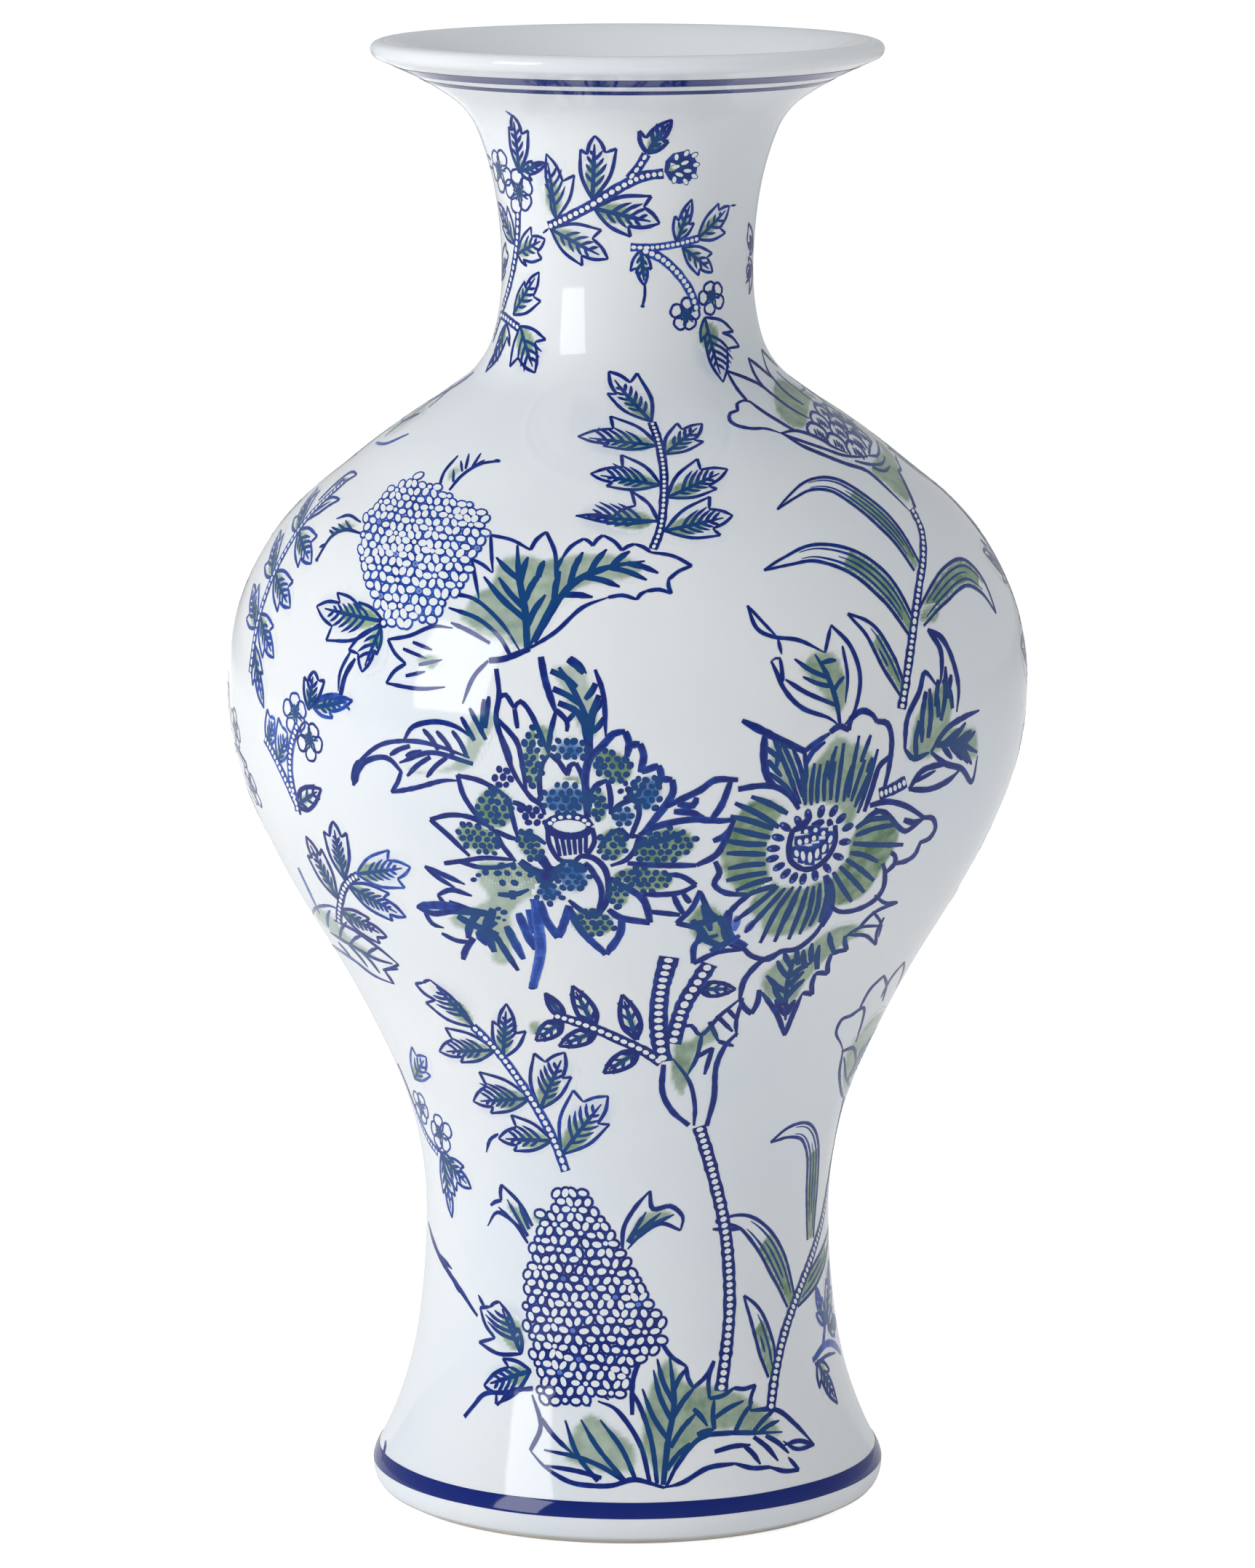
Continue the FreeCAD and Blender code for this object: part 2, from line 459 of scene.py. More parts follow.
def alongAt(height):
    # how far up the outline a height lies
    low, high = 0.0, outside.length
    while high - low > 0.001:
        middle = (low + high) / 2
        if outside.at(middle)[1] < height:
            low = middle
        else:
            high = middle
    return low


def brushedBand(name, replaced):
    # a ring of colour from one turn of the brush: its edges waver and its tone drifts round the vase
    low, high = (alongAt(level / mm) for level in bandLevels[replaced])
    spread = bandLook["rimSpread"] if replaced.startswith("rim") else 0.0
    low, high = low - spread, high + spread
    corners, tones, edges, faces = [], [], [], []
    for k in range(bandLook["segments"]):
        turn = 2 * math.pi * k / bandLook["segments"]
        spot = Vector((math.cos(turn), math.sin(turn), low * 0.1)) * 3
        for share in bandLook["shares"]:
            waver = bandLook["waver"] * noise.noise(spot + Vector((0, 0, share * 7)))
            s = (low + high) / 2 + share * ((high - low) / 2 + waver)
            corners.append(onVase(0.0, s, bandLook["lift"], turn))
            drift = noise.noise(spot * 1.7 + Vector((4, 1, share * 0.4)))
            tones.append(bandLook["tone"] + bandLook["toneDrift"] * drift)
            edges.append(1.0 if abs(share) == 1.0 else 0.0)
    rows = len(bandLook["shares"])
    for k in range(bandLook["segments"]):
        after = (k + 1) % bandLook["segments"]
        for j in range(rows - 1):
            faces.append((k * rows + j, after * rows + j, after * rows + j + 1, k * rows + j + 1))
    paintPiece(name, corners, faces, tones, edges, [0.0] * len(corners), ink, [replaced])


brushedBand("footBandBrush", "foot_band")
brushedBand("rimBandWideBrush", "rim_band_wide")
brushedBand("rimBandFineBrush", "rim_band_fine")
print("bands laid")


brushLook = {
    "step": 1.3,
    "weight": 1.3,
    "wobble": 0.10,
    "washCell": 0.9,
    "lifts": {"wash": 0.04, "ink": 0.08, "white": 0.13, "over": 0.17},
    "layer": 0.0003,  # how far each stroke is lifted over the one before it, so that none coincide
    "washLayer": 0.0006,
    "bleedLifts": (-0.014, 0.012),  # a faint halo lies under the green, a strong one over it
}
chance = random.Random(7)
coats = {}
washShapes = []


def startRegion():
    # fresh coats of paint for one part of the vase
    for kind in brushLook["lifts"]:
        coats[kind] = {"corners": [], "faces": [], "tone": [], "edge": []}
    washShapes.clear()


def put(kind, x, y, tone=1.0, edge=0.0, extra=0.0):
    coat = coats[kind]
    coat["corners"].append((x, y, brushLook["lifts"][kind] + extra))
    coat["tone"].append(tone)
    coat["edge"].append(edge)
    return len(coat["corners"]) - 1


def smoothPath(points, step=None):
    # points along a soft curve that passes through the few points given
    step = step or brushLook["step"]
    first, last = points[0], points[-1]
    ahead = (2 * first[0] - points[1][0], 2 * first[1] - points[1][1])
    beyond = (2 * last[0] - points[-2][0], 2 * last[1] - points[-2][1])
    run = [ahead] + list(points) + [beyond]
    path = []
    for a, b, c, d in zip(run, run[1:], run[2:], run[3:]):
        pieces = max(2, round(math.dist(b, c) / step))
        for k in range(pieces):
            t = k / pieces
            path.append(tuple(0.5 * (2 * b[i] + (c[i] - a[i]) * t
                                     + (2 * a[i] - 5 * b[i] + 4 * c[i] - d[i]) * t * t
                                     + (3 * b[i] - a[i] - 3 * c[i] + d[i]) * t**3) for i in (0, 1)))
    return path + [last]


def sideways(path, i):
    # the unit direction square to the path at its point i, to the left
    a, b = path[max(i - 1, 0)], path[min(i + 1, len(path) - 1)]
    size = math.dist(a, b) or 1.0
    return -(b[1] - a[1]) / size, (b[0] - a[0]) / size


def line(points, width=0.75, head=0.55, tail=0.3, tone=0.85, kind="ink"):
    # one brush stroke: head and tail are its end widths as shares of the full width
    path = smoothPath(points)
    last = len(path) - 1
    extra = (len(coats[kind]["corners"]) % 97) * brushLook["layer"]
    rows = []
    for i, (x, y) in enumerate(path):
        t = i / last
        swell = min(1.0, head + (1 - head) * t / 0.18, tail + (1 - tail) * (1 - t) / 0.3)
        rough = 1 + brushLook["wobble"] * noise.noise(Vector((x * 0.6, y * 0.6, 3.0))) * 2
        half = width * 0.5 * brushLook["weight"] * swell * rough
        across = sideways(path, i)
        pool = 0.12 * (1 - t) ** 4 + 0.1 * t**6
        shade = tone + pool
        rows.append([put(kind, x + across[0] * half * k, y + across[1] * half * k, shade, abs(k), extra)
                     for k in (-1, 0, 1)])
    for a, b in zip(rows, rows[1:]):
        for k in (0, 1):
            coats[kind]["faces"].append((a[k], b[k], b[k + 1], a[k + 1]))


def oval(x, y, long, short, angle=0.0, tone=0.85, kind="ink", sides=10):
    # a filled oval; long and short are its half sizes
    extra = (len(coats[kind]["corners"]) % 89) * brushLook["layer"]
    middle = put(kind, x, y, tone, 0.0, extra)
    turn = (math.cos(angle), math.sin(angle))
    rim = []
    for k in range(sides):
        a = 2 * math.pi * k / sides
        u, v = long * math.cos(a), short * math.sin(a)
        rim.append(put(kind, x + u * turn[0] - v * turn[1], y + u * turn[1] + v * turn[0], tone, 1.0, extra))
    for k in range(sides):
        coats[kind]["faces"].append((middle, rim[k], rim[(k + 1) % sides]))


def inShape(x, y, shape):
    within = False
    for a, b in zip(shape, shape[1:] + shape[:1]):
        if (a[1] > y) != (b[1] > y) and x < (b[0] - a[0]) * (y - a[1]) / (b[1] - a[1]) + a[0]:
            within = not within
    return within


def edgeDistance(x, y, shape):
    nearest = 1e9
    for a, b in zip(shape, shape[1:] + shape[:1]):
        dx, dy = b[0] - a[0], b[1] - a[1]
        t = max(0.0, min(1.0, ((x - a[0]) * dx + (y - a[1]) * dy) / (dx * dx + dy * dy + 1e-9)))
        nearest = min(nearest, math.hypot(x - a[0] - t * dx, y - a[1] - t * dy))
    return nearest


def green(points, soft=0.9, strength=0.85, blue=0.0):
    # a wash over the round shape through the points, fading over the soft width at its edge;
    # blue is how far it turns from green to the colour that bleeds from the ink
    shape = smoothPath(list(points) + [points[0]], 2.5)[:-1]
    cell = brushLook["washCell"]
    lows = [min(p[k] for p in shape) for k in (0, 1)]
    highs = [max(p[k] for p in shape) for k in (0, 1)]
    extra = (len(washShapes) % 23) * brushLook["washLayer"]
    if blue:
        extra += brushLook["bleedLifts"][strength > 0.5]
    counts = [int((highs[k] - lows[k]) / cell) + 3 for k in (0, 1)]
    grid = {}
    for i in range(counts[0]):
        for j in range(counts[1]):
            x, y = lows[0] + (i - 1) * cell, lows[1] + (j - 1) * cell
            gap = edgeDistance(x, y, shape) * (1 if inShape(x, y, shape) else -1)
            gap += 0.5 * noise.noise(Vector((x * 0.5, y * 0.5, 9.0)))
            if gap > -1.6 * cell:
                grid[(i, j)] = (x, y, strength * min(1.0, max(0.0, gap / soft)))
    used = {}
    for i, j in list(grid):
        corners = [(i, j), (i + 1, j), (i + 1, j + 1), (i, j + 1)]
        if all(c in grid for c in corners) and any(grid[c][2] > 0 for c in corners):
            for c in corners:
                if c not in used:
                    used[c] = put("wash", *grid[c], blue, extra)
            coats["wash"]["faces"].append(tuple(used[c] for c in corners))
    if not blue:
        washShapes.append(shape)


def layCoats(region, sides=(0.0, halfTurn)):
    # the region's paint laid on the vase, on its front and again on its back
    for kind, slot, material in (("wash", "green_wash", wash), ("ink", "cobalt_blue", ink),
                                 ("white", "clear_glaze", white), ("over", "cobalt_blue", ink)):
        coat = coats[kind]
        if not coat["faces"]:
            continue
        corners, faces, tones, edges, greens = [], [], [], [], []
        over = [0.0] * len(coat["corners"])
        if kind in ("ink", "over"):
            over = [1.0 if any(inShape(x, y, shape) for shape in washShapes) else 0.0
                    for x, y, lift in coat["corners"]]
        for turn in sides:
            first = len(corners)
            corners += [onVase(x, y, lift, turn) for x, y, lift in coat["corners"]]
            for face in coat["faces"]:
                flat = [coat["corners"][i] for i in face[:3]]
                area = ((flat[1][0] - flat[0][0]) * (flat[2][1] - flat[0][1])
                        - (flat[2][0] - flat[0][0]) * (flat[1][1] - flat[0][1]))
                order = face if area >= 0 else face[::-1]
                faces.append(tuple(first + i for i in order))
            tones += coat["tone"]
            edges += coat["edge"]
            greens += over
        name = region + {"wash": "Wash", "ink": "Ink", "white": "White", "over": "OverInk"}[kind]
        paintPiece(name, corners, faces, tones, edges, greens, material)


def towards(a, b, share):
    return a[0] + (b[0] - a[0]) * share, a[1] + (b[1] - a[1]) * share


def bowed(a, b, bow):
    # a to b through a point pushed to the left by bow times the distance
    return [a, ((a[0] + b[0]) / 2 - (b[1] - a[1]) * bow, (a[1] + b[1]) / 2 + (b[0] - a[0]) * bow), b]


leafLook = {
    "bulge": 0.1,
    "notch": 0.5,
    "rib": 0.86,
    "veins": 0.8,
    "veinGap": 4.2,
    "halo": 0.13,
    "haloSoft": 2.6,
}


def leaf(base, tip, teeth, width=0.7, tint=0.62, tone=0.85):
    # a toothed leaf: its outline bows out from tooth to tooth, with a rib and veins across it
    size = math.dist(base, tip)
    along = ((tip[0] - base[0]) / size, (tip[1] - base[1]) / size)
    side = (-along[1], along[0])
    spread = {1: [], -1: []}
    for tooth in teeth:
        u = (tooth[0] - base[0]) * along[0] + (tooth[1] - base[1]) * along[1]
        v = (tooth[0] - base[0]) * side[0] + (tooth[1] - base[1]) * side[1]
        spread[1 if v > 0 else -1].append((u, v, tooth))
    for way in (1, -1):
        start = base
        for u, v, tooth in sorted(spread[way]):
            line(bowed(start, tooth, leafLook["bulge"] * way), width, 0.6, 0.6, tone)
            inner = (base[0] + along[0] * (u - 0.07 * size) + side[0] * v * leafLook["notch"],
                     base[1] + along[1] * (u - 0.07 * size) + side[1] * v * leafLook["notch"])
            line([tooth, inner], width * 0.9, 0.9, 0.5, tone)
            start = inner
        line(bowed(start, tip, leafLook["bulge"] * 0.8 * way), width, 0.6, 0.55, tone)
    line(bowed(base, towards(base, tip, leafLook["rib"]), 0.0), width * 1.1, 0.95, 0.35, tone)
    widest = {way: max([abs(v) for u, v, tooth in spread[way]] + [0.2 * size]) for way in (1, -1)}
    pairs = max(3, round(size / leafLook["veinGap"]))
    for way in (1, -1):
        for k in range(pairs):
            t = 0.2 + 0.56 * (k + 0.25 * (way + 1)) / pairs
            reach = widest[way] * leafLook["veins"] * math.sin(math.pi * min(1.0, t + 0.16))
            reach *= chance.uniform(0.75, 1.0)
            root = towards(base, tip, t)
            end = (root[0] + along[0] * reach * 0.95 + side[0] * way * reach * 0.8,
                   root[1] + along[1] * reach * 0.95 + side[1] * way * reach * 0.8)
            line(bowed(root, end, 0.07 * way), width * 0.95, 0.9, 0.25, tone)
    halo = ring(*towards(base, tip, 0.5), 0.52 * size, 0.5 * (widest[1] + widest[-1]),
                math.atan2(along[1], along[0]))
    green(halo, leafLook["haloSoft"], leafLook["halo"], 1.0)
    if tint:
        half = 0.52 * (widest[1] + widest[-1]) / 2
        shape = []
        for k in range(9):
            a = 2 * math.pi * k / 9
            u = (0.05 + tint) / 2 * size + (tint - 0.05) / 2 * size * math.cos(a)
            v = half * math.sin(a)
            shape.append((base[0] + along[0] * u + side[0] * v, base[1] + along[1] * u + side[1] * v))
        green(shape, 0.7, 0.9)


def ladder(points, width=2.2, cell=1.8, gap=0.5, tone=0.8):
    # a stem painted dark, with a row of white cells left inside it
    path = smoothPath(points, cell)
    line(points, width, 1.0, 1.0, tone)
    for i in range(len(path) - 1):
        x, y = towards(path[i], path[i + 1], 0.5)
        angle = math.atan2(path[i + 1][1] - path[i][1], path[i + 1][0] - path[i][0])
        long = (math.dist(path[i], path[i + 1]) - gap) / 2
        oval(x, y, long * 1.12, (width / 2 - gap) * 1.08, angle, kind="white", sides=8)


blossomLook = {"petals": 5, "rays": 11}


def blossom(x, y, radius, turn, tone=0.8):
    # a small open flower: round petals, a green eye and short dark rays
    eye = 0.42 * radius
    green([(x + eye * math.cos(k * 1.05), y + eye * math.sin(k * 1.05)) for k in range(6)], 0.7)
    petal = [(0.30, 0.10), (0.62, 0.95), (0.95, 0.62), (1.0, 0.0), (0.95, -0.62), (0.62, -0.95),
             (0.30, -0.10)]
    for k in range(blossomLook["petals"]):
        a = turn + 2 * math.pi * k / blossomLook["petals"]
        ux, uy = math.cos(a), math.sin(a)
        reach = radius * (0.94 + 0.1 * math.sin(5.0 * k + x))
        spread = radius * 0.42
        line([(x + ux * u * reach - uy * v * spread, y + uy * u * reach + ux * v * spread) for u, v in petal],
             0.55, 0.8, 0.8, tone)
    for k in range(blossomLook["rays"]):
        a = turn + 0.2 + 2 * math.pi * k / blossomLook["rays"]
        far = radius * (0.62 if k % 2 else 0.42)
        line([(x + 0.12 * radius * math.cos(a), y + 0.12 * radius * math.sin(a)),
              (x + far * math.cos(a), y + far * math.sin(a))], 0.5, 0.9, 0.5, tone)
    oval(x, y, radius * 0.16, radius * 0.16, tone=tone)


def strokes(runs, width=0.75, head=0.55, tail=0.3, tone=0.85):
    # several strokes made with the same pressure
    for run in runs:
        line(run, width, head, tail, tone)


def veins(pairs, bow, width=0.75, head=0.55, tail=0.3, tone=0.85):
    # slightly bent strokes, each from one point to another
    for a, b in pairs:
        line(bowed(a, b, bow), width, head, tail, tone)


def jagged(points, width=0.8, bow=0.07, tone=0.85):
    # strokes from each point to the next, meeting at sharp corners
    for a, b in zip(points, points[1:]):
        line(bowed(a, b, bow), width, 0.75, 0.6, tone)


def ring(x, y, wide, high, turn=0.0, count=10):
    # points round an oval, wide and high being its half sizes
    return [(x + wide * math.cos(a) * math.cos(turn) - high * math.sin(a) * math.sin(turn),
             y + wide * math.cos(a) * math.sin(turn) + high * math.sin(a) * math.cos(turn))
            for a in (2 * math.pi * k / count for k in range(count))]


def dotted(x, y, wide, high, turn=0.0, spacing=2.2, radius=0.95, tint=1.0, bleed=False):
    # a patch of green with rows of small round dots
    shape = ring(x, y, wide * 1.12, high * 1.12, turn)
    if tint:
        green(shape, 0.7, tint)
    if bleed:
        green(ring(x, y, wide * 1.05, high * 1.05, turn), 1.6, 0.85, 1.0)
    rows = int(2 * max(wide, high) / spacing) + 2
    for i in range(-rows, rows + 1):
        for j in range(-rows, rows + 1):
            u = x + (i + 0.5 * (j % 2)) * spacing + chance.uniform(-0.28, 0.28)
            v = y + j * spacing * 0.87 + chance.uniform(-0.28, 0.28)
            if inShape(u, v, shape):
                size = radius * chance.uniform(0.82, 1.15)
                oval(u, v, size * 1.1, size * 0.92, chance.uniform(0, 3), chance.uniform(0.9, 1.15))


def panicle(outline, pitch=2.7, tone=0.8, gap=0.0):
    # a mass of tiny flowers: every seventh cell is a round heart, the others petals turned towards one
    shape = smoothPath(list(outline) + [outline[0]], 4.0)[:-1]
    steps = {1: (-1, 0), 3: (0, -1), 2: (1, -1), 6: (1, 0), 4: (0, 1), 5: (-1, 1)}
    lows = [min(p[k] for p in shape) for k in (0, 1)]
    highs = [max(p[k] for p in shape) for k in (0, 1)]
    rows = int((highs[1] - lows[1]) / pitch * 1.2) + 2
    wide = int((highs[0] - lows[0]) / pitch) + 2
    for r in range(rows):
        for q in range(-rows // 2, wide):
            x, y = lows[0] + (q + r / 2) * pitch, lows[1] + r * pitch * 0.866
            if not inShape(x, y, shape):
                continue
            kind = (q + 3 * r) % 7
            sway = [1.1 * noise.noise(Vector((x * 0.09, y * 0.09, depth))) for depth in (1.0, 5.0)]
            x, y = x + sway[0] + chance.uniform(-0.22, 0.22), y + sway[1] + chance.uniform(-0.22, 0.22)
            shade = tone + chance.uniform(-0.12, 0.14)
            if kind == 0:
                oval(x, y, 1.5, 1.45, tone=shade)
                oval(x, y, 0.8 - gap * 0.5, 0.74 - gap * 0.5, kind="white", sides=8)
                if chance.random() < 0.16:
                    oval(x, y, 0.7, 0.66, tone=0.2, kind="over", sides=8)
                continue
            dq, dr = steps[kind]
            angle = math.atan2(dr * 0.866, dq + dr / 2) + chance.uniform(-0.25, 0.25)
            long, short = 1.44 * chance.uniform(0.92, 1.08) - gap, chance.uniform(0.92, 1.08) - gap
            x, y = x + 0.12 * math.cos(angle), y + 0.12 * math.sin(angle)
            oval(x, y, long + gap + 0.56, short + gap + 0.62, angle, shade, sides=12)
            oval(x, y, long, short, angle, kind="white", sides=10)


def blade(points, width, runs=3, tint=0.8, wide=0.3, tone=0.85, drawn=0.8):
    # a long narrow leaf along the points from base to tip, with strokes running down it
    path = smoothPath(points, 2.6)
    last = len(path) - 1

    def side(share):
        edge = []
        for i, (x, y) in enumerate(path):
            t = i / last
            swell = min(1.0, 0.55 + 0.45 * t / wide) * (1 - max(0.0, (t - wide) / (1 - wide)) ** 2.4)
            across = sideways(path, i)
            reach = width / 2 * share * swell
            edge.append((x + across[0] * reach, y + across[1] * reach))
        return edge

    for way in (1, -1):
        line(side(way), 0.85, 0.8, 0.7, tone)
    for k in range(runs):
        run = side((k + 1) / (runs + 1) * 2 - 1)
        first = 1 + (k * 2) % 3
        end = max(first + 3, int(len(run) * drawn * (1 - 0.22 * (k % 2))))
        line(run[first:end], 0.6, 0.5, 0.3, tone * 0.8)
    if tint:
        reach = max(3, int(last * tint))
        green(side(0.9)[:reach] + side(-0.9)[:reach][::-1], 0.5, 0.95)


def bean(base, tip, width=5.6, cells=3, tone=0.95):
    # a dark pointed leaf with white drops left inside it
    size = math.dist(base, tip)
    along = ((tip[0] - base[0]) / size, (tip[1] - base[1]) / size)
    angle = math.atan2(along[1], along[0])

    def at(u, v):
        return (base[0] + along[0] * u * size - along[1] * v * width,
                base[1] + along[1] * u * size + along[0] * v * width)

    for way in (1, -1):
        line([base, at(0.3, 0.42 * way), at(0.65, 0.36 * way), tip], 1.1, 0.8, 0.6, tone)
        for k in range(cells):
            u = 0.24 + 0.5 * k / max(1, cells - 1)
            line([at(u - 0.06, 0.02 * way), at(u + 0.1, 0.34 * way)], 0.8, 0.9, 0.6, tone)
    line([base, at(0.85, 0)], 1.0, 0.9, 0.3, tone)
    green(ring(*at(0.42, 0), size * 0.24, width * 0.22, angle), 0.5, 0.95)


def petals(tips, tone=0.85, width=0.85):
    # pointed petals: each is its left foot, its tip and its right foot
    for left, tip, right in tips:
        line(bowed(left, tip, 0.13), width, 0.5, 0.7, tone)
        line(bowed(tip, right, 0.13), width, 0.7, 0.5, tone)


def scale(x, y, size, turn=-0.5, tone=0.8):
    # one overlapping scale of a bud: a rounded rim with short strokes under it
    ux, uy = math.cos(turn) * size, math.sin(turn) * size
    rim = [(-2.6, -2.6), (-4.4, -0.4), (-3.2, 2.2), (0.4, 2.9), (3.8, 1.8), (5.4, -0.8)]

    def at(u, v):
        return x + u * ux - v * uy, y + u * uy + v * ux

    line([at(u, v) for u, v in rim], 0.95, 0.8, 0.8, tone)
    for k in range(4):
        u, v = -1.2 + 1.25 * k, 0.9 - 0.3 * abs(k - 1)
        line([at(u, v), at(u + 1.3, v - 2.3)], 0.75, 0.5, 0.9, tone)


def paintNeck():
    startRegion()
    # left sprig, rising from the root of the neck
    ladder([(-52.5, 362), (-47, 369.5)], 2.2)
    ladder([(-46, 370.5), (-41, 377), (-37, 385), (-35.2, 392), (-34.6, 398)], 2.2)
    ladder([(-47, 369.3), (-41, 368.6), (-34, 366.8)], 2.0)
    leaf((-33, 409), (-33.6, 427), [(-35.8, 422.5), (-28.5, 421.8)], tint=0.3, width=0.85)
    line([(-33.6, 426.5), (-36, 428.6)], 0.7, 0.9, 0.2, 0.5)
    leaf((-32.6, 409.4), (-22.7, 412.4), [(-27.6, 412.9), (-28, 407.2)], width=0.8, tint=0.6)
    blossom(-33.6, 403.6, 6.6, 0.5)
    blossom(-43.6, 409.2, 6.6, 0.9)
    strokes([[(-50, 411.5), (-54, 412.8)], [(-49.5, 409), (-55, 409.2)]], 0.7)
    leaf((-36.5, 389), (-49, 399.6), [(-40.5, 399.2), (-46, 393)])
    leaf((-35.4, 386.5), (-23.8, 391.4), [(-29, 394.4), (-25, 386), (-31, 383.6)])
    leaf((-52, 378), (-41.5, 385.6), [(-43.6, 389), (-44, 381)])
    leaf((-37.5, 370), (-26, 382.4), [(-32, 379.5), (-25.4, 374.6)])
    leaf((-41.2, 367.6), (-49, 353), [(-47.6, 359.2), (-38, 361.6)], width=0.8, tint=0.5)
    leaf((-33.5, 367.4), (-26.6, 355), [(-23.4, 364.6), (-36.6, 356)], width=0.8)
    # the large branch across the front
    ladder([(-22.5, 394.8), (-16.5, 397.6), (-10, 401), (-5, 404.4), (0, 407.4), (4.6, 409.4), (9.6, 410)],
        2.3)
    ladder([(0.5, 408.6), (3, 412), (5, 415.6)], 2.0)
    line([(-24.5, 393), (-22.4, 394.4)], 0.6)
    leaf((-20, 397), (-22.8, 415.2), [(-14.4, 409.4), (-21.8, 403)], tint=0.62)
    leaf((-9.4, 402.6), (-8.7, 421), [(-12.7, 416.8), (-2.9, 417.2)], width=0.85, tint=0.62)
    leaf((-9, 400.4), (8.6, 396.3), [(6.3, 403.8), (0.8, 392.8)], width=0.85, tint=0.6)
    leaf((-22, 394.4), (-5.2, 386.8), [(-7, 394.6), (-12.3, 384.8)], width=0.75)
    leaf((5.2, 415.8), (11.8, 426.4), [(3, 422.5), (11, 419.2)], width=1.05, tint=0.55)
    # the tight bloom at the end of the branch
    oval(14.6, 411.6, 4.9, 4.7, 0.2)
    for x, y in ((16, 415.6), (18.4, 415), (13.2, 414.6), (18.9, 412.2), (18.4, 409), (15.8, 407.6),
        (12.6, 408.2)):
        oval(x, y, 1.25, 0.8, math.atan2(y - 411.5, x - 13), tone=0.9)
        oval(x, y, 0.95, 0.6, math.atan2(y - 411.5, x - 13), kind="white", sides=8)
    for x, y in ((15.6, 412.9), (16.4, 410.6), (13, 411.8), (14, 409.6)):
        oval(x, y, 1.2, 0.55, math.atan2(y - 411, x - 10), kind="white", sides=8)
    green([(10, 409.5), (13, 408.5), (15.5, 411), (13, 413), (10.5, 411.6)], 0.6)
    # the small branch to its right
    ladder([(0.8, 390), (6, 389.8), (13, 390.5), (20, 391.8)], 1.7, 1.5, 0.36, 0.6)
    ladder([(4, 389.2), (9, 386.9), (14, 382.4), (17.6, 377.4), (19.5, 372.5)], 2.0, 1.6, 0.36, 0.6)
    leaf((13.4, 391), (17.8, 402.6), [(12.8, 398.2), (18.6, 396)], tone=0.7)
    leaf((19.5, 391.6), (31, 400), [(26.6, 401), (29.6, 392.7)], tone=0.7)
    line([(31.5, 400), (34, 400)], 0.5)
    leaf((15, 389.7), (24.8, 382.4), [(24.6, 387.6), (20, 381.8)], tone=0.7)
    leaf((3.6, 389.4), (4.5, 379.6), [(0.7, 383.6), (6.4, 384)], tone=0.7, tint=0.8)
    line([(4.6, 380), (4.6, 377), (4, 374.4)], 0.6, 0.8, 0.8)
    oval(4, 374.2, 0.6, 0.45)
    blossom(24.6, 376, 4.7, 0.7)
    blossom(16.2, 371.4, 4.6, 0.2)
    leaf((22, 370.6), (27.4, 352), [(32.8, 366), (35, 361.8), (20.6, 364)], tint=0.5)
    # the sprig that shows at the right edge
    leaf((49, 387), (41.6, 389.4), [(42, 394.4), (44, 385.5)])
    leaf((49, 381), (41.4, 381.6), [(43, 385), (43.6, 375)])
    layCoats("neck")


